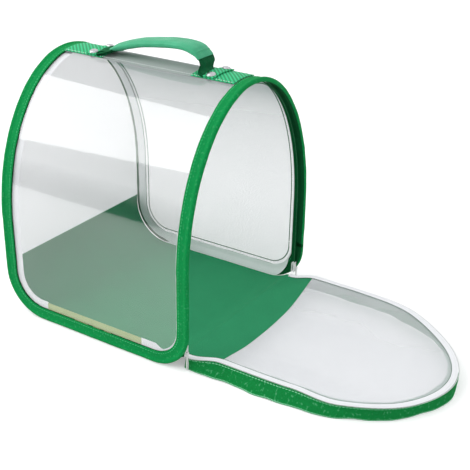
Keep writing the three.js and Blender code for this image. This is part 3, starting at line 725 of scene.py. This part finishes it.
def seam_reach(x):
    """How far in the seam tape reaches at x along the edge: further at the front left and by the film."""
    if x < front_middle:
        share = share_between(ridge_place - RIDGE_BLEND, ridge_place + RIDGE_BLEND, x)
        return LEFT_TAPE_TO + (FRONT_TAPE_TO - LEFT_TAPE_TO) * share
    past_film = x - front_middle - FILM_RIGHT
    return FRONT_TAPE_TO + (RIGHT_TAPE_TO - FRONT_TAPE_TO) * share_between(*FILM_BLEND, past_film)


def lay_left_start(x, y, z):
    """The left run starts as narrow as the right one ends, and there it rolls over the back hem."""
    across = (y - LEFT_TAPE_FROM) / (LEFT_TAPE_TO - LEFT_TAPE_FROM)
    narrow = (RIGHT_TAPE_FROM - LEFT_TAPE_FROM) * (1 - share_between(*LEFT_RUN_WIDENS, x))
    rolled = (1 - share_between(*HEM_END, x)) * (1 - share_between(*ROLL_EDGE, y + (1 - across) * narrow))
    return Vector((x, y + (1 - across) * narrow, z - HEM_ROLL * rolled))


for side, start, end, inner, outer, level in (
    ("left", 0, front_middle + FILM_LEFT, LEFT_TAPE_FROM, LEFT_TAPE_TO, LEFT_TAPE_LEVEL),
    ("right", front_middle + FILM_RIGHT, EDGE_LENGTH, RIGHT_TAPE_FROM, RIGHT_TAPE_TO, RIGHT_TAPE_LEVEL),
):
    name = "seam_tape_%s_run" % side
    tape = tape_strip(name, start, end, inner, outer, level, SEAM_TAPE_THICK)
    shares = [(vertex.co.y - inner) / (outer - inner) for vertex in tape.data.vertices]
    if side == "left":
        reshape(tape, lay_left_start)
    for vertex, share in zip(tape.data.vertices, shares):
        vertex.co.y += share * (seam_reach(vertex.co.x) - outer)
    sew_along(tape, outline_path)
    bend_over(tape, arch)
    crumple(tape, 0.0002, 0.012, name + " crumple")
    smooth(tape)
    dress(tape, white_tape, "cage_body", "white_tape", "seam_tape_" + side)
    thread_from, thread_to = (start, ridge_place) if side == "left" else (right_ridge, end)
    row = stitch_row(name + "_overlock", thread_to - thread_from, OVERLOCK_AT, -OVERLOCK_RADIUS,
                     thread_from, pitch=OVERLOCK_PITCH, long=OVERLOCK_PITCH, radius=OVERLOCK_RADIUS)
    sew_along(row, outline_path)
    bend_over(row, arch)
    dress(row, overlock, "cage_body", "green_tape")

olive_film = new_material("see-through yellowish tape", FILM_COLOUR, 0.3)
shader_of(olive_film)["Alpha"].default_value = FILM_COVER
cloud = mottle(olive_film.node_tree, pattern_place(olive_film), 60.0, 4.0)


def shade_by(material, share, dark, light):
    """Colours a material from dark to light by a share."""
    ramp = put(material.node_tree, "ShaderNodeValToRGB", Fac=share)
    ramp.color_ramp.elements[0].color = dark
    ramp.color_ramp.elements[1].color = light
    feed(material, "Base Color", ramp.outputs["Color"])


shade_by(olive_film, cloud, FILM_DARK, FILM_LIGHT)
bump_from(olive_film, cloud, 0.3, 0.0005)
film = tape_strip("front_hem_tape", FILM_LEFT, FILM_RIGHT, FILM_FROM, FILM_TO, RIGHT_TAPE_LEVEL,
                  SEAM_TAPE_THICK)
bend_over(film, arch)
smooth(film)
dress(film, olive_film, "cage_body", "olive_film", "front_hem_film")

# Ridge: a pale grey cloth strip covers the joint of vinyl and net, and over it a length of green
# webbing runs from each arch towards the handle. White thread holds the long edges down.
RIDGE_HALF_WIDTH = 0.019
RIDGE_REACH = 0.1107
WEBBING_END = 0.058
STRIP_LEVEL = 0.0008
STRIP_THICK = 0.0004
WEBBING_LEVEL = 0.0019
WEBBING_THICK = 0.0011
RIDGE_GREY = (0.50, 0.535, 0.525, 1)
RIDGE_SHADE = (0.32, 0.355, 0.345, 1)
WEBBING_GREEN = (0.035, 0.60, 0.25, 1)
# Dark end of the webbing colours, for the grooves between its cords: painted shade.
WEBBING_DARK = (0.006, 0.24, 0.085, 1)
THREAD_WHITE = (0.80, 0.84, 0.82, 1)
CORD_PITCH = 0.0050
EDGE_ROUND = 0.0004
RIDGE_SEAM_IN = 0.0016


def make_twill_group():
    """Webbing: thick diagonal cords of yarn, each broken up by the yarns that cross it."""
    group, given, out = new_group("webbing twill", ("Color", "Height"), Vector=(0, 0, 0), Cord=2 * MM,
                                  Light=(1, 1, 1, 1), Dark=(0, 0, 0, 1))
    parts = put(group, "ShaderNodeSeparateXYZ", Vector=given["Vector"]).outputs
    waves = []
    for kind, share in (("ADD", 1.0), ("SUBTRACT", 0.5)):
        turn = work(group, "DIVIDE", work(group, kind, parts["X"], parts["Y"]), given["Cord"])
        waves.append(work(group, "SINE", work(group, "MULTIPLY", turn, 2 * math.pi / share)))
    cords = work(group, "MULTIPLY_ADD", waves[0], 0.5, 0.45)
    yarns = work(group, "MULTIPLY_ADD", waves[1], 0.2, cords)
    patch = mottle(group, given["Vector"], 120.0, 3.0)
    # Darker where the cords and yarns lie low: painted shade in the grooves, with a slow random change of
    # tone.
    depth = work(group, "SUBTRACT", 1.15, work(group, "MULTIPLY_ADD", patch, 0.4, yarns))
    group.links.new(mix_colours(group, depth, given["Light"], given["Dark"]), out["Color"])
    group.links.new(yarns, out["Height"])
    return group


webbing_twill = make_twill_group()
webbing_green = new_material("green webbing", WEBBING_GREEN, 0.6, 0.3)
outs = place_group(webbing_green, webbing_twill, Vector=pattern_place(webbing_green), Cord=CORD_PITCH,
                   Light=WEBBING_GREEN, Dark=WEBBING_DARK)
feed(webbing_green, "Base Color", outs["Color"])
bump_from(webbing_green, outs["Height"], 0.6, 0.0004)
ridge_grey = tape_material("pale grey ridge cloth", RIDGE_GREY, RIDGE_SHADE, 0.0007, roughness=0.8)
white_thread = thread_material("white thread", THREAD_WHITE)



def round_edges(piece):
    apply_modifier(piece, "BEVEL", width=EDGE_ROUND, segments=2, limit_method="ANGLE", angle_limit=1.0)


ridge_middle = GIRTH / 2
strip = tape_strip("ridge_cover", -RIDGE_REACH, RIDGE_REACH, ridge_middle - RIDGE_HALF_WIDTH,
                   ridge_middle + RIDGE_HALF_WIDTH, STRIP_LEVEL, STRIP_THICK, rows=10)
bend_over(strip, arch)
smooth(strip)
dress(strip, ridge_grey, "cage_body", "ridge_cloth", "ridge_strip")
for side, start in (("left", -RIDGE_REACH), ("right", WEBBING_END)):
    end = start + RIDGE_REACH - WEBBING_END
    webbing = tape_strip("webbing_" + side, start, end, ridge_middle - RIDGE_HALF_WIDTH,
                         ridge_middle + RIDGE_HALF_WIDTH, WEBBING_LEVEL, WEBBING_THICK, step=0.003, rows=12)
    round_edges(webbing)
    bend_over(webbing, arch)
    smooth(webbing, 60)
    dress(webbing, webbing_green, "cage_body", "green_webbing", "ridge_webbing_" + side)
for where, across in (("front", -1), ("back", 1)):
    edge = ridge_middle + across * (RIDGE_HALF_WIDTH - RIDGE_SEAM_IN)
    row = stitch_row("ridge_stitches_" + where, 2 * RIDGE_REACH, edge, WEBBING_LEVEL + WEBBING_THICK / 2,
                     -RIDGE_REACH, pitch=0.003, long=0.0023)
    bend_over(row, arch)
    dress(row, white_thread, "cage_body", "white_tape")

# Floor cloth and door apron: one piece of plain green polyester. It climbs the left end wall,
# lies on the ground, rises over the round of the doorway and ends at the seam of the door.
FLOOR_HALF = 0.1158
APRON_HALF = 0.1084
FLOOR_LEVEL = 0.0003
SHEET_LEVEL = 0.01215
SEAM_X = 0.151
CLOTH_THICK = 0.0006
WALL_X = -0.1237
WALL_TOP = 0.058
FLOOR_GREEN = (0.034, 0.310, 0.135, 1)
FLOOR_DARK = (0.020, 0.200, 0.088, 1)
DOOR_HALF = 0.11
SILL_END = 0.118
SEAM_BOW = 0.006
SEAM_DROP = 0.005
FOLD_RISE = 0.0011
FINE_FOLD_RISE = 0.0003
FAR_RISE = 0.0075
NEAR_RISE = 0.003
NEAR_DRAWN_IN = 0.008
FULLNESS = 0.0030
DOOR_LEAN = 0.0025
FLOOR_RISE = 0.0016

floor_run = flat_curve("floor_run", [
    ((SEAM_X, SHEET_LEVEL), (SEAM_X + 0.01, SHEET_LEVEL), (SEAM_X - 0.01, SHEET_LEVEL)),
    ((0.1215, SHEET_LEVEL), (0.130, SHEET_LEVEL), (0.1165, SHEET_LEVEL)),
    ((0.1085, 0.01056), (0.1108, 0.0125), (0.1004, 0.00387)),
    ((0.080, FLOOR_LEVEL), (0.0905, FLOOR_LEVEL), (0.060, FLOOR_LEVEL)),
    ((-0.075, FLOOR_LEVEL), (-0.055, FLOOR_LEVEL), (-0.1019, FLOOR_LEVEL)),
    ((WALL_X, 0.049), (WALL_X, 0.0221), (WALL_X, 0.052)),
    ((WALL_X, WALL_TOP), (WALL_X, 0.055), (WALL_X, 0.061)),
])
FLOOR_LENGTH = floor_run.data.splines[0].calc_length()
TURN_UP = Matrix(((1, 0, 0, 0), (0, 0, -1, 0), (0, 1, 0, 0), (0, 0, 0, 1)))


def ease(low, high, value):
    """Goes smoothly from 0 at low to 1 at high."""
    share = share_between(low, high, value)
    return share * share * (3 - 2 * share)


def seam_shift(across):
    """How far the door's seam bows towards the tip in the middle, and drops back at the far edge."""
    share = across / APRON_HALF
    return SEAM_BOW * (1 - share * share) - SEAM_DROP * max(0, (share + 1) / 2) ** 2.2


def fold_height(x, y):
    """The soft unevenness of the door as it lies open."""
    broad = noise.noise(Vector((x * 16, y * 11, 3.1)))
    fine = noise.noise(Vector((x * 45, y * 30, 7.7)))
    return FOLD_RISE * broad + FINE_FOLD_RISE * fine


def lie_open(x, y, z):
    """The door's own lie: far edge higher, near edge drawn in, and all of it leaning to the near side."""
    out = ease(SILL_END, 0.150, x)
    up = min(1, z / 0.0125)
    far = ease(0.25, 1.0, y / DOOR_HALF) * (1 - 0.55 * ease(0.27, 0.36, x))
    near = ease(0.45, 1.0, -y / DOOR_HALF)
    lift = out * (FAR_RISE * far + NEAR_RISE * near + fold_height(x, y) * (1 - 0.6 * near))
    drawn_in = NEAR_DRAWN_IN * near * ease(SILL_END, 0.155, x) * (1 - ease(0.235, 0.285, x)) * up
    fuller = FULLNESS * ease(0.20, 0.29, x) * (1 - ease(0.34, 0.37, x)) * y / DOOR_HALF
    lean = DOOR_LEAN * ease(0.22, 0.32, x)
    return Vector((x, y + drawn_in + fuller - lean, z + lift * up))


def lie_flat_floor(x, y, z):
    """Small rises of the floor cloth, and the door's lie past the sill."""
    if x > SILL_END:
        return lie_open(x, y, z)
    flat = ease(-0.075, -0.03, x) * (1 - ease(0.05, 0.09, x)) * (1 - ease(0.09, 0.115, abs(y)))
    rise = 0.5 + 0.5 * noise.noise(Vector((x * 14, y * 9, 1.3)))
    return Vector((x, y, z + FLOOR_RISE * flat * rise))


floor = tape_strip("floor_and_apron", -1, 1, 0, FLOOR_LENGTH, 0, CLOTH_THICK, step=2 / 60, rows=96)
reshape(floor, lambda x, y, z: Vector((
    x * (APRON_HALF + (FLOOR_HALF - APRON_HALF) * ease(0.032, 0.060, y)),
    y - seam_shift(-x * APRON_HALF) * (1 - ease(0, 0.03, y)),
    z,
)))
map_flat(floor)
bend_over(floor, floor_run, TURN_UP)
reshape(floor, lie_flat_floor)
smooth(floor, 60)
floor_green = tape_material("green floor cloth", FLOOR_GREEN, FLOOR_DARK, 0.0006, roughness=0.75,
                            uneven=0.45)
dress(floor, floor_green, None, "floor_cloth", "floor_cloth", "door_apron")
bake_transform(floor)

# Left end wall: a flat arch of the white net, sewn to the top of the floor cloth's climb below
# and inside the left arch round its edge.
WALL_INSET = 0.0029
WALL_FOOT = 0.0583
NET_THICK = 0.0005


def arch_height(across, inset):
    """Height of the tunnel over a place across it, with the outline drawn in by an inset."""
    share = min(1, abs(across) / (HALF_WIDTH - inset))
    return SIDE_HEIGHT + (CROWN_RISE - inset) * math.sqrt(1 - share * share)


def net_arch(name, columns, rows, inset, foot):
    """A flat arch of net in its own plane: across in X, and up in Y from its foot."""
    half = HALF_WIDTH - inset
    bpy.ops.mesh.primitive_grid_add(x_subdivisions=columns, y_subdivisions=rows, size=2)
    piece = bpy.context.object
    piece.name = name

    def rule(x, y, z):
        across = half * math.sin(x * math.pi / 2)
        low = foot(across)
        return Vector((across, low + (arch_height(across, inset) - low) * (y + 1) / 2, z))

    reshape(piece, rule)
    map_flat(piece)
    apply_modifier(piece, "SOLIDIFY", thickness=NET_THICK, offset=0)
    return piece


end_net = net_arch("left_end_net", 48, 32, WALL_INSET, lambda across: WALL_FOOT)
crumple(end_net, 0.0004, 0.05, "end net crumple")
end_net.matrix_world = Matrix.Translation((WALL_X, 0, 0)) @ STAND_UP
settle(end_net)
smooth(end_net)
dress(end_net, net, "cage_body", "white_mesh", "left_end_panel")

# Body half of the zip: green tape inside the right arch, with a row of nylon coil turns on its
# free edge, from one slider to the other.
ZIP_FOOT = 0.0165
ZIP_TAPE_FROM = 0.1112
ZIP_TAPE_TO = 0.1168
ZIP_TAPE_LEVEL = -0.00315
ZIP_TAPE_THICK = 0.0005
BODY_COIL_X = 0.1165
BODY_COIL_LEVEL = -0.0051
COIL_PITCH = 0.0012
COIL_RADIUS = 0.00042
COIL_WIRE = 0.00018
COIL_LEAN = 0.35
COIL_GREEN = (0.010, 0.16, 0.055, 1)


def coil_row(name, length):
    """A row of coil turns along X: one small closed ring, leaned over and repeated."""
    bpy.ops.mesh.primitive_torus_add(major_segments=8, minor_segments=4, major_radius=COIL_RADIUS,
                                     minor_radius=COIL_WIRE, rotation=(0, math.pi / 2, COIL_LEAN))
    row = bpy.context.object
    repeat_along(row, name, int(length / COIL_PITCH), COIL_PITCH)
    return row


def nylon_material(name, colour):
    """Moulded nylon with a slight orange-peel skin."""
    made = new_material(name, colour, 0.35)
    bump_from(made, mottle(made.node_tree, pattern_place(made, "Object"), 1500.0), 0.2, 0.00005)
    return made


def face_outwards(piece):
    """Turns all faces of a closed piece outwards."""
    work_on_all(piece, lambda: bpy.ops.mesh.normals_make_consistent(inside=False))


zip_tape = tape_strip("body_zip_tape", -ZIP_TAPE_TO, -ZIP_TAPE_FROM, ZIP_FOOT, GIRTH - ZIP_FOOT,
                      ZIP_TAPE_LEVEL, ZIP_TAPE_THICK, step=0.0014, rows=150)
reshape(zip_tape, lambda x, y, z: Vector((-x, y, z)))
bend_over(zip_tape, arch)
smooth(zip_tape)
face_outwards(zip_tape)
# The zip tape takes the darker copy of the binding green: painted shade inside the arch.
zip_shaded_green = tape_material("zip tape in painted shade", SHADED_INNER_GREEN, SHADED_INNER_DARK, 0.0009)
dress(zip_tape, zip_shaded_green, "cage_body", "green_tape", "body_zipper_tape")
coil = coil_row("body_zip_coil", GIRTH - 2 * ZIP_FOOT)
coil.rotation_euler = (0, 0, math.pi / 2)
coil.location = (BODY_COIL_X, ZIP_FOOT + COIL_PITCH / 2, BODY_COIL_LEVEL)
settle(coil)
bend_over(coil, arch)
dress(coil, nylon_material("green nylon", COIL_GREEN), "cage_body", "green_plastic", "body_zipper_coil")

# Sliders and pulls: die castings in white enamel, one pair at each foot of the doorway. Each
# slider runs on the zip's coil, and its pull swings on it.
ENAMEL_WHITE = (0.83, 0.83, 0.82, 1)

enamel = metal_material("white enamel", ENAMEL_WHITE, 0.25, 0.0, 0.15)
coat(enamel, "slider_front", "slider_back", "pull_front", "pull_back")

# Door: a leaf of white net, sewn to the apron at its foot and lying open. White zip tape with a
# nylon coil goes round its edge, a thin green hem lies under the edge, and a green skirt, sewn on
# along its top, hangs to the ground.
LEAF_INSET = 0.0103
DOOR_BASE = 0.0915
DOOR_START = 0.1145
DOOR_TAPE_FROM = 0.0086
DOOR_TAPE_TO = 0.0150
DOOR_TAPE_LEVEL = 0.0130
DOOR_COIL_INSET = 0.0077
HEM_FROM = 0.0103
HEM_TO = 0.0215
HEM_LEVEL = 0.0112
SKIRT_INSET = 0.0097
SKIRT_TOP = 0.0124
SKIRT_FOOT = 0.0003
SKIRT_THICK = 0.0005
SKIRT_GREEN = (0.005, 0.28, 0.060, 1)
SKIRT_DARK = (0.004, 0.16, 0.032, 1)
# The hem greens are a paler copy of the skirt's green: painted light for the light that reaches the hem
# through the net.
HEM_LIT_GREEN = (0.03, 0.40, 0.15, 1)
HEM_DARK = (0.012, 0.25, 0.085, 1)
COIL_WHITE = (0.82, 0.83, 0.84, 1)
THREAD_PALE = (0.22, 0.68, 0.38, 1)
RUN_HANDLE = 0.02
HEM_COVER = 0.7
HEM_NARROWS = 0.0060
HEM_WANDERS = 0.0020
SKIRT_SEAM = 0.011
SKIRT_FOLDS = 9
SKIRT_FLARE = 0.0024
SKIRT_SWAY = 0.0009
SKIRT_WANDERS = 0.0008
SKIRT_DROOP = 0.0009

leaf = net_arch("door_leaf", 64, 60, LEAF_INSET,
                lambda across: SEAM_X - DOOR_BASE + seam_shift(across) + 0.0003)
reshape(leaf, lambda x, y, z: lie_open(y + DOOR_BASE, x, z + SHEET_LEVEL))
face_outwards(leaf)
smooth(leaf)
dress(leaf, net, "door", "white_mesh", "door_panel")

shoulder, tip = DOOR_BASE + SIDE_HEIGHT, DOOR_BASE + SIDE_HEIGHT + CROWN_RISE
foot_before, foot_after = DOOR_START - RUN_HANDLE, DOOR_START + RUN_HANDLE
door_run = flat_curve("door_run", [
    ((DOOR_START, -HALF_WIDTH), (foot_before, -HALF_WIDTH), (foot_after, -HALF_WIDTH)),
    ((shoulder, -HALF_WIDTH), (shoulder - RUN_HANDLE, -HALF_WIDTH), (shoulder + crown_up, -HALF_WIDTH)),
    ((tip, 0), (tip, -crown_across), (tip, crown_across)),
    ((shoulder, HALF_WIDTH), (shoulder + crown_up, HALF_WIDTH), (shoulder - RUN_HANDLE, HALF_WIDTH)),
    ((DOOR_START, HALF_WIDTH), (foot_after, HALF_WIDTH), (foot_before, HALF_WIDTH)),
])
DOOR_LENGTH = door_run.data.splines[0].calc_length()


def lay_on_door(piece):
    """Sews a strip on the door's outline and gives it the door's lie."""
    sew_along(piece, door_run)
    reshape(piece, lie_open)
    smooth(piece)


door_tape = tape_strip("door_zip_tape", 0, DOOR_LENGTH, DOOR_TAPE_FROM, DOOR_TAPE_TO, DOOR_TAPE_LEVEL,
                       ZIP_TAPE_THICK, step=0.003)
lay_on_door(door_tape)
dress(door_tape, white_tape, "door", "white_tape", "door_zipper_tape")
for name, inset, thread in (
    ("inner", DOOR_TAPE_TO + 0.0003, overlock), ("outer", DOOR_TAPE_FROM + 0.0022, white_thread),
):
    row = stitch_row("door_tape_stitches_" + name, DOOR_LENGTH, inset, DOOR_TAPE_LEVEL + 0.0003,
                     pitch=0.003, long=0.0026)
    lay_on_door(row)
    dress(row, thread, "door", "white_tape")

coil = coil_row("door_zip_coil", DOOR_LENGTH)
coil.location = (COIL_PITCH / 2, DOOR_COIL_INSET, DOOR_TAPE_LEVEL)
settle(coil)
sew_along(coil, door_run)
reshape(coil, lie_open)
dress(coil, nylon_material("white nylon", COIL_WHITE), "door", "white_plastic", "door_zipper_coil")

skirt_green = tape_material("green skirt cloth", SKIRT_GREEN, SKIRT_DARK, 0.0009, uneven=0.6, glint=0.3)
# Paler green for the hem under the net: painted light.
hem_lit_green = tape_material("thin green hem cloth, painted light", HEM_LIT_GREEN, HEM_DARK, 0.0009, uneven=0.6)
shader_of(hem_lit_green)["Alpha"].default_value = HEM_COVER
hem = tape_strip("door_hem_tape", 0, DOOR_LENGTH, HEM_FROM, HEM_TO, HEM_LEVEL, CLOTH_THICK, step=0.003)


def hem_edge(x, y, z):
    """The hem's free edge wanders, and it is narrower on the far side of the door."""
    share = (y - HEM_FROM) / (HEM_TO - HEM_FROM)
    narrower = HEM_NARROWS * ease(0.45, 0.8, x / DOOR_LENGTH)
    reach = HEM_WANDERS * noise.noise(Vector((x * 45, 0, 5))) - narrower - MM
    return Vector((x, y + share * reach, z))


reshape(hem, hem_edge)
lay_on_door(hem)
dress(hem, hem_lit_green, "door", "green_tape", "door_hem")


def hang(x, y, z):
    """Turns a flat strip upright, and lets its loose lower edge sway in shallow folds."""
    loose = 1 - ease(0.0, SKIRT_SEAM, y)
    wave = SKIRT_SWAY * math.sin(2 * math.pi * SKIRT_FOLDS * x / DOOR_LENGTH)
    sway = wave + SKIRT_WANDERS * noise.noise(Vector((x * 40, 2.0, 0)))
    droop = SKIRT_DROOP * noise.noise(Vector((x * 55, 9.0, 0)))
    return Vector((x, SKIRT_INSET - (SKIRT_FLARE + sway) * loose + z, SKIRT_FOOT + y + droop * loose))


skirt = tape_strip("door_skirt_cloth", 0, DOOR_LENGTH, 0, SKIRT_TOP - SKIRT_FOOT, 0, SKIRT_THICK,
                   step=0.0025, rows=10)
reshape(skirt, hang)
face_outwards(skirt)
lay_on_door(skirt)
dress(skirt, skirt_green, "door", "green_tape", "door_skirt")
pale_green_thread = thread_material("pale green thread", THREAD_PALE)
for name, height, pitch, radius in (("upper", 0.0102, 0.0036, 0.00024), ("lower", 0.0007, 0.0016, 0.00034)):
    row = stitch_row("skirt_stitches_" + name, DOOR_LENGTH, height, -0.00035, pitch=pitch,
                     long=pitch * 0.85, radius=radius)
    reshape(row, hang)
    lay_on_door(row)
    dress(row, pale_green_thread, "door", "green_tape")

# Handle: a webbing strap inside a padded satin sleeve. Its ends come out of the sleeve gathered,
# hang over the front edge of the webbing and are fixed under the riveted tabs.
STRAP_LEVEL = 0.2875
HANDLE_LEFT = -0.0660
HANDLE_RIGHT = 0.0725
ROLL_LENGTH = 0.0045
HANDLE_RISE = 0.0186
FOOT_DIP = 0.0025
FOOT_HALF = 0.0118
FOOT_HALF_THICK = 0.0024
SLEEVE_HALF = 0.0140
SLEEVE_HALF_THICK = 0.0045
SLEEVE_FROM = 0.0140
SLEEVE_GAP_RIGHT = 0.0155
SATIN_GREEN = (0.045, 0.36, 0.18, 1)
# Dark copy of the webbing green for the strap's feet: painted shade.
FOOT_SHADED_GREEN = (0.006, 0.13, 0.045, 1)
FOOT_SHADED_DARK = (0.003, 0.07, 0.022, 1)
# Satin colours from fold hollows to fold crests: painted shade and painted sheen.
SATIN_FOLD_SHADE = (0.028, 0.33, 0.150, 1)
SATIN_FOLD_SHEEN = (0.075, 0.50, 0.270, 1)
SATIN_CHANNELS = (0.0050, 0.0085)
SATIN_SEAM = 0.024
SATIN_SEAM_LEVEL = 0.0023
FOOT_SPREAD = 0.35
FOOT_PLEATS = 9
PLEAT_DEPTH = 0.14
PLEAT_TWIST = 6
STRAP_HALF_THICK = 0.0011
SLUMP_OUT = 0.0085
SLUMP_DOWN = 0.0022
SLUMP_HEIGHT = 0.008
HANDLE_SHAPE = [
    (0, 0), (0.08, 0.09), (0.15, 0.27), (0.245, 0.48), (0.37, 0.7), (0.52, 0.86),
    (0.66, 0.98), (0.79, 1), (0.88, 0.89), (0.95, 0.62), (0.985, 0.27), (1, 0),
]

bow_from, bow_to = HANDLE_LEFT + ROLL_LENGTH, HANDLE_RIGHT - ROLL_LENGTH
places = [Vector((HANDLE_LEFT, STRAP_LEVEL - FOOT_DIP))]
places += [Vector((bow_from + along * (bow_to - bow_from), STRAP_LEVEL + up * HANDLE_RISE))
           for along, up in HANDLE_SHAPE]
places.append(Vector((HANDLE_RIGHT, STRAP_LEVEL - FOOT_DIP)))
bow = []
for i, place in enumerate(places):
    before, after = places[max(0, i - 1)], places[min(len(places) - 1, i + 1)]
    slope = (after - before).normalized()
    back, on = slope * (place - before).length / 3, slope * (after - place).length / 3
    bow.append((place, place - back, place + on))
handle_run = flat_curve("handle_run", bow)
HANDLE_LENGTH = handle_run.data.splines[0].calc_length()
SLEEVE_TO = HANDLE_LENGTH - SLEEVE_GAP_RIGHT


def soft_bar(name, start, end, sides, steps):
    """A closed round bar along Y with a radius of one, to be shaped into strap or padding."""
    bpy.ops.mesh.primitive_cylinder_add(vertices=sides, radius=1, depth=end - start,
                                        location=(0, (start + end) / 2, 0), rotation=(math.pi / 2, 0, 0))
    bar = bpy.context.object
    bar.name = name
    settle(bar)
    slice_across(bar, start, end, (end - start) / steps)
    return bar


def sleeve_section(x, y, z):
    """Flat padded oval, thinner at its sewn ends, with two sewn channels near each."""
    from_end = min(y - SLEEVE_FROM, SLEEVE_TO - y)
    fullness = 0.45 + 0.55 * ease(0, 0.010, from_end)
    for channel in SATIN_CHANNELS:
        fullness -= 0.28 * math.exp(-(((SLEEVE_TO - y) - channel) / 0.0007) ** 2)
        fullness -= 0.18 * math.exp(-(((y - SLEEVE_FROM) - channel) / 0.0007) ** 2)
    edge = math.copysign(abs(x) ** 0.8, x)
    crown = math.copysign(abs(z) ** 0.75, z)
    wrinkle = 1 + 0.10 * noise.noise(Vector((x * 2.5, y * 70, z)))
    return Vector((edge * SLEEVE_HALF, y, crown * SLEEVE_HALF_THICK * fullness * wrinkle))


def narrow_feet(x, y, z):
    """Draws the strap in towards its feet, after it is bent."""
    half = min(SLEEVE_HALF, FOOT_HALF + FOOT_SPREAD * max(z - STRAP_LEVEL, 0))
    return Vector((x, y * half / SLEEVE_HALF, z))


sleeve = soft_bar("handle_pad", SLEEVE_FROM, SLEEVE_TO, 40, 90)
reshape(sleeve, sleeve_section)
map_flat(sleeve)
bend_over(sleeve, handle_run, TURN_UP)
reshape(sleeve, narrow_feet)
smooth(sleeve, 50)
satin = new_material("green satin", SATIN_GREEN, 0.45, 0.3)
shader_of(satin)["Sheen Weight"].default_value = 0.05
shader_of(satin)["Sheen Roughness"].default_value = 0.25
shader_of(satin)["Anisotropic"].default_value = 0.5
satin_weave = place_group(satin, weave, Vector=pattern_place(satin), Pitch=0.0004, Thread=0.95)
folds = mottle(satin.node_tree, pattern_place(satin), 55.0)
bump_from(satin, work(satin.node_tree, "MULTIPLY_ADD", folds, 6.0, satin_weave["Height"]), 0.35, 0.0002)
# Colour follows the folds, lighter on their crests and darker in their hollows: painted sheen and painted
# shade.
shade_by(satin, folds, SATIN_FOLD_SHADE, SATIN_FOLD_SHEEN)
dress(sleeve, satin, None, "handle_satin", "handle_sleeve")
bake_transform(sleeve)

for i, start in enumerate((SLEEVE_TO - SATIN_CHANNELS[0], SLEEVE_TO - SATIN_CHANNELS[1],
                           SLEEVE_FROM + SATIN_CHANNELS[0])):
    row = stitch_row("sleeve_stitches_%d" % i, SATIN_SEAM, start, SATIN_SEAM_LEVEL, -SATIN_SEAM / 2,
                     pitch=0.0024, long=0.0019)
    bend_over(row, handle_run, TURN_UP)
    reshape(row, narrow_feet)
    dress(row, green_thread, None, "green_tape")
    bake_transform(row)


def slump(x, y, z):
    """Lets the gathered feet hang over the front edge of the webbing."""
    low = 1 - ease(0, SLUMP_HEIGHT, z - STRAP_LEVEL + FOOT_DIP)
    return Vector((x, y - SLUMP_OUT * low, z - SLUMP_DOWN * low))


feet = []
for name, start, end, flip in (
    ("left", 0, SLEEVE_FROM + 0.004, 1), ("right", SLEEVE_TO - 0.004, HANDLE_LENGTH, -1),
):
    foot = soft_bar("strap_foot_" + name, start, end, 48, 40)

    def gather(x, y, z, start=start, end=end, flip=flip):
        share = (y - start) / (end - start)
        share = share if flip > 0 else 1 - share
        angle = math.atan2(z, x)
        spread = ease(0.15, 1.0, share)
        pleat = 1 + PLEAT_DEPTH * (1 - 0.5 * spread) * math.cos(FOOT_PLEATS * angle + PLEAT_TWIST * share)
        wide = FOOT_HALF + (SLEEVE_HALF * 0.93 - FOOT_HALF) * spread
        thick = FOOT_HALF_THICK + (STRAP_HALF_THICK - FOOT_HALF_THICK) * spread
        return Vector((x * wide * pleat, y, z * thick * pleat))

    reshape(foot, gather)
    map_flat(foot)
    bend_over(foot, handle_run, TURN_UP)
    reshape(foot, slump)
    feet.append(foot)
bpy.ops.object.select_all(action="DESELECT")
for foot in feet:
    foot.select_set(True)
bpy.context.view_layer.objects.active = feet[0]
bpy.ops.object.join()
strap = bpy.context.object
strap.name = "strap_feet"
smooth(strap, 50)
# The feet are the same webbing, darkened because they lie in shadow under the sleeve: painted shade.
foot_shaded_green = tape_material("gathered strap in painted shade", FOOT_SHADED_GREEN, FOOT_SHADED_DARK, 0.0008, uneven=0.6)
dress(strap, foot_shaded_green, None, "green_tape", "handle_strap")
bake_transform(strap)

# Tabs and rivets: a doubled tab of green tape over each foot of the handle, sewn round its
# edge and held by two domed steel rivets, with washers inside the cage.
TAB_LEVEL = 0.0035
TAB_THICK = 0.0013
TAB_HALF = 0.0185
TAB_SEAM_IN = 0.0015
TABS = (("left", -0.0802, -0.0662), ("right", 0.0727, 0.0867))

for side, start, end in TABS:
    tab = tape_strip("tab_" + side, start, end, ridge_middle - TAB_HALF, ridge_middle + TAB_HALF,
                     TAB_LEVEL, TAB_THICK, step=0.0015, rows=20)
    round_edges(tab)
    bend_over(tab, arch)
    crumple(tab, 0.0003, 0.006, "tab crumple " + side)
    smooth(tab, 60)
    dress(tab, webbing_green, "cage_body", "green_tape", "handle_tab_" + side)
    for across in (-1, 1):
        edge = ridge_middle + across * (TAB_HALF - TAB_SEAM_IN)
        row = stitch_row("tab_stitches_%s_%s" % (side, "front" if across < 0 else "back"),
                         end - start - 2 * TAB_SEAM_IN, edge, TAB_LEVEL + TAB_THICK / 2,
                         start + TAB_SEAM_IN, pitch=0.0026, long=0.0020)
        bend_over(row, arch)
        dress(row, green_thread, "cage_body", "green_tape")
    for place in ("front", "back"):
        coat(steel, "rivet_%s_%s" % (side, place), "washer_%s_%s" % (side, place))

for curve in (arch, fold_curve, outline_path, floor_run, door_run, handle_run):
    bpy.data.objects.remove(curve)
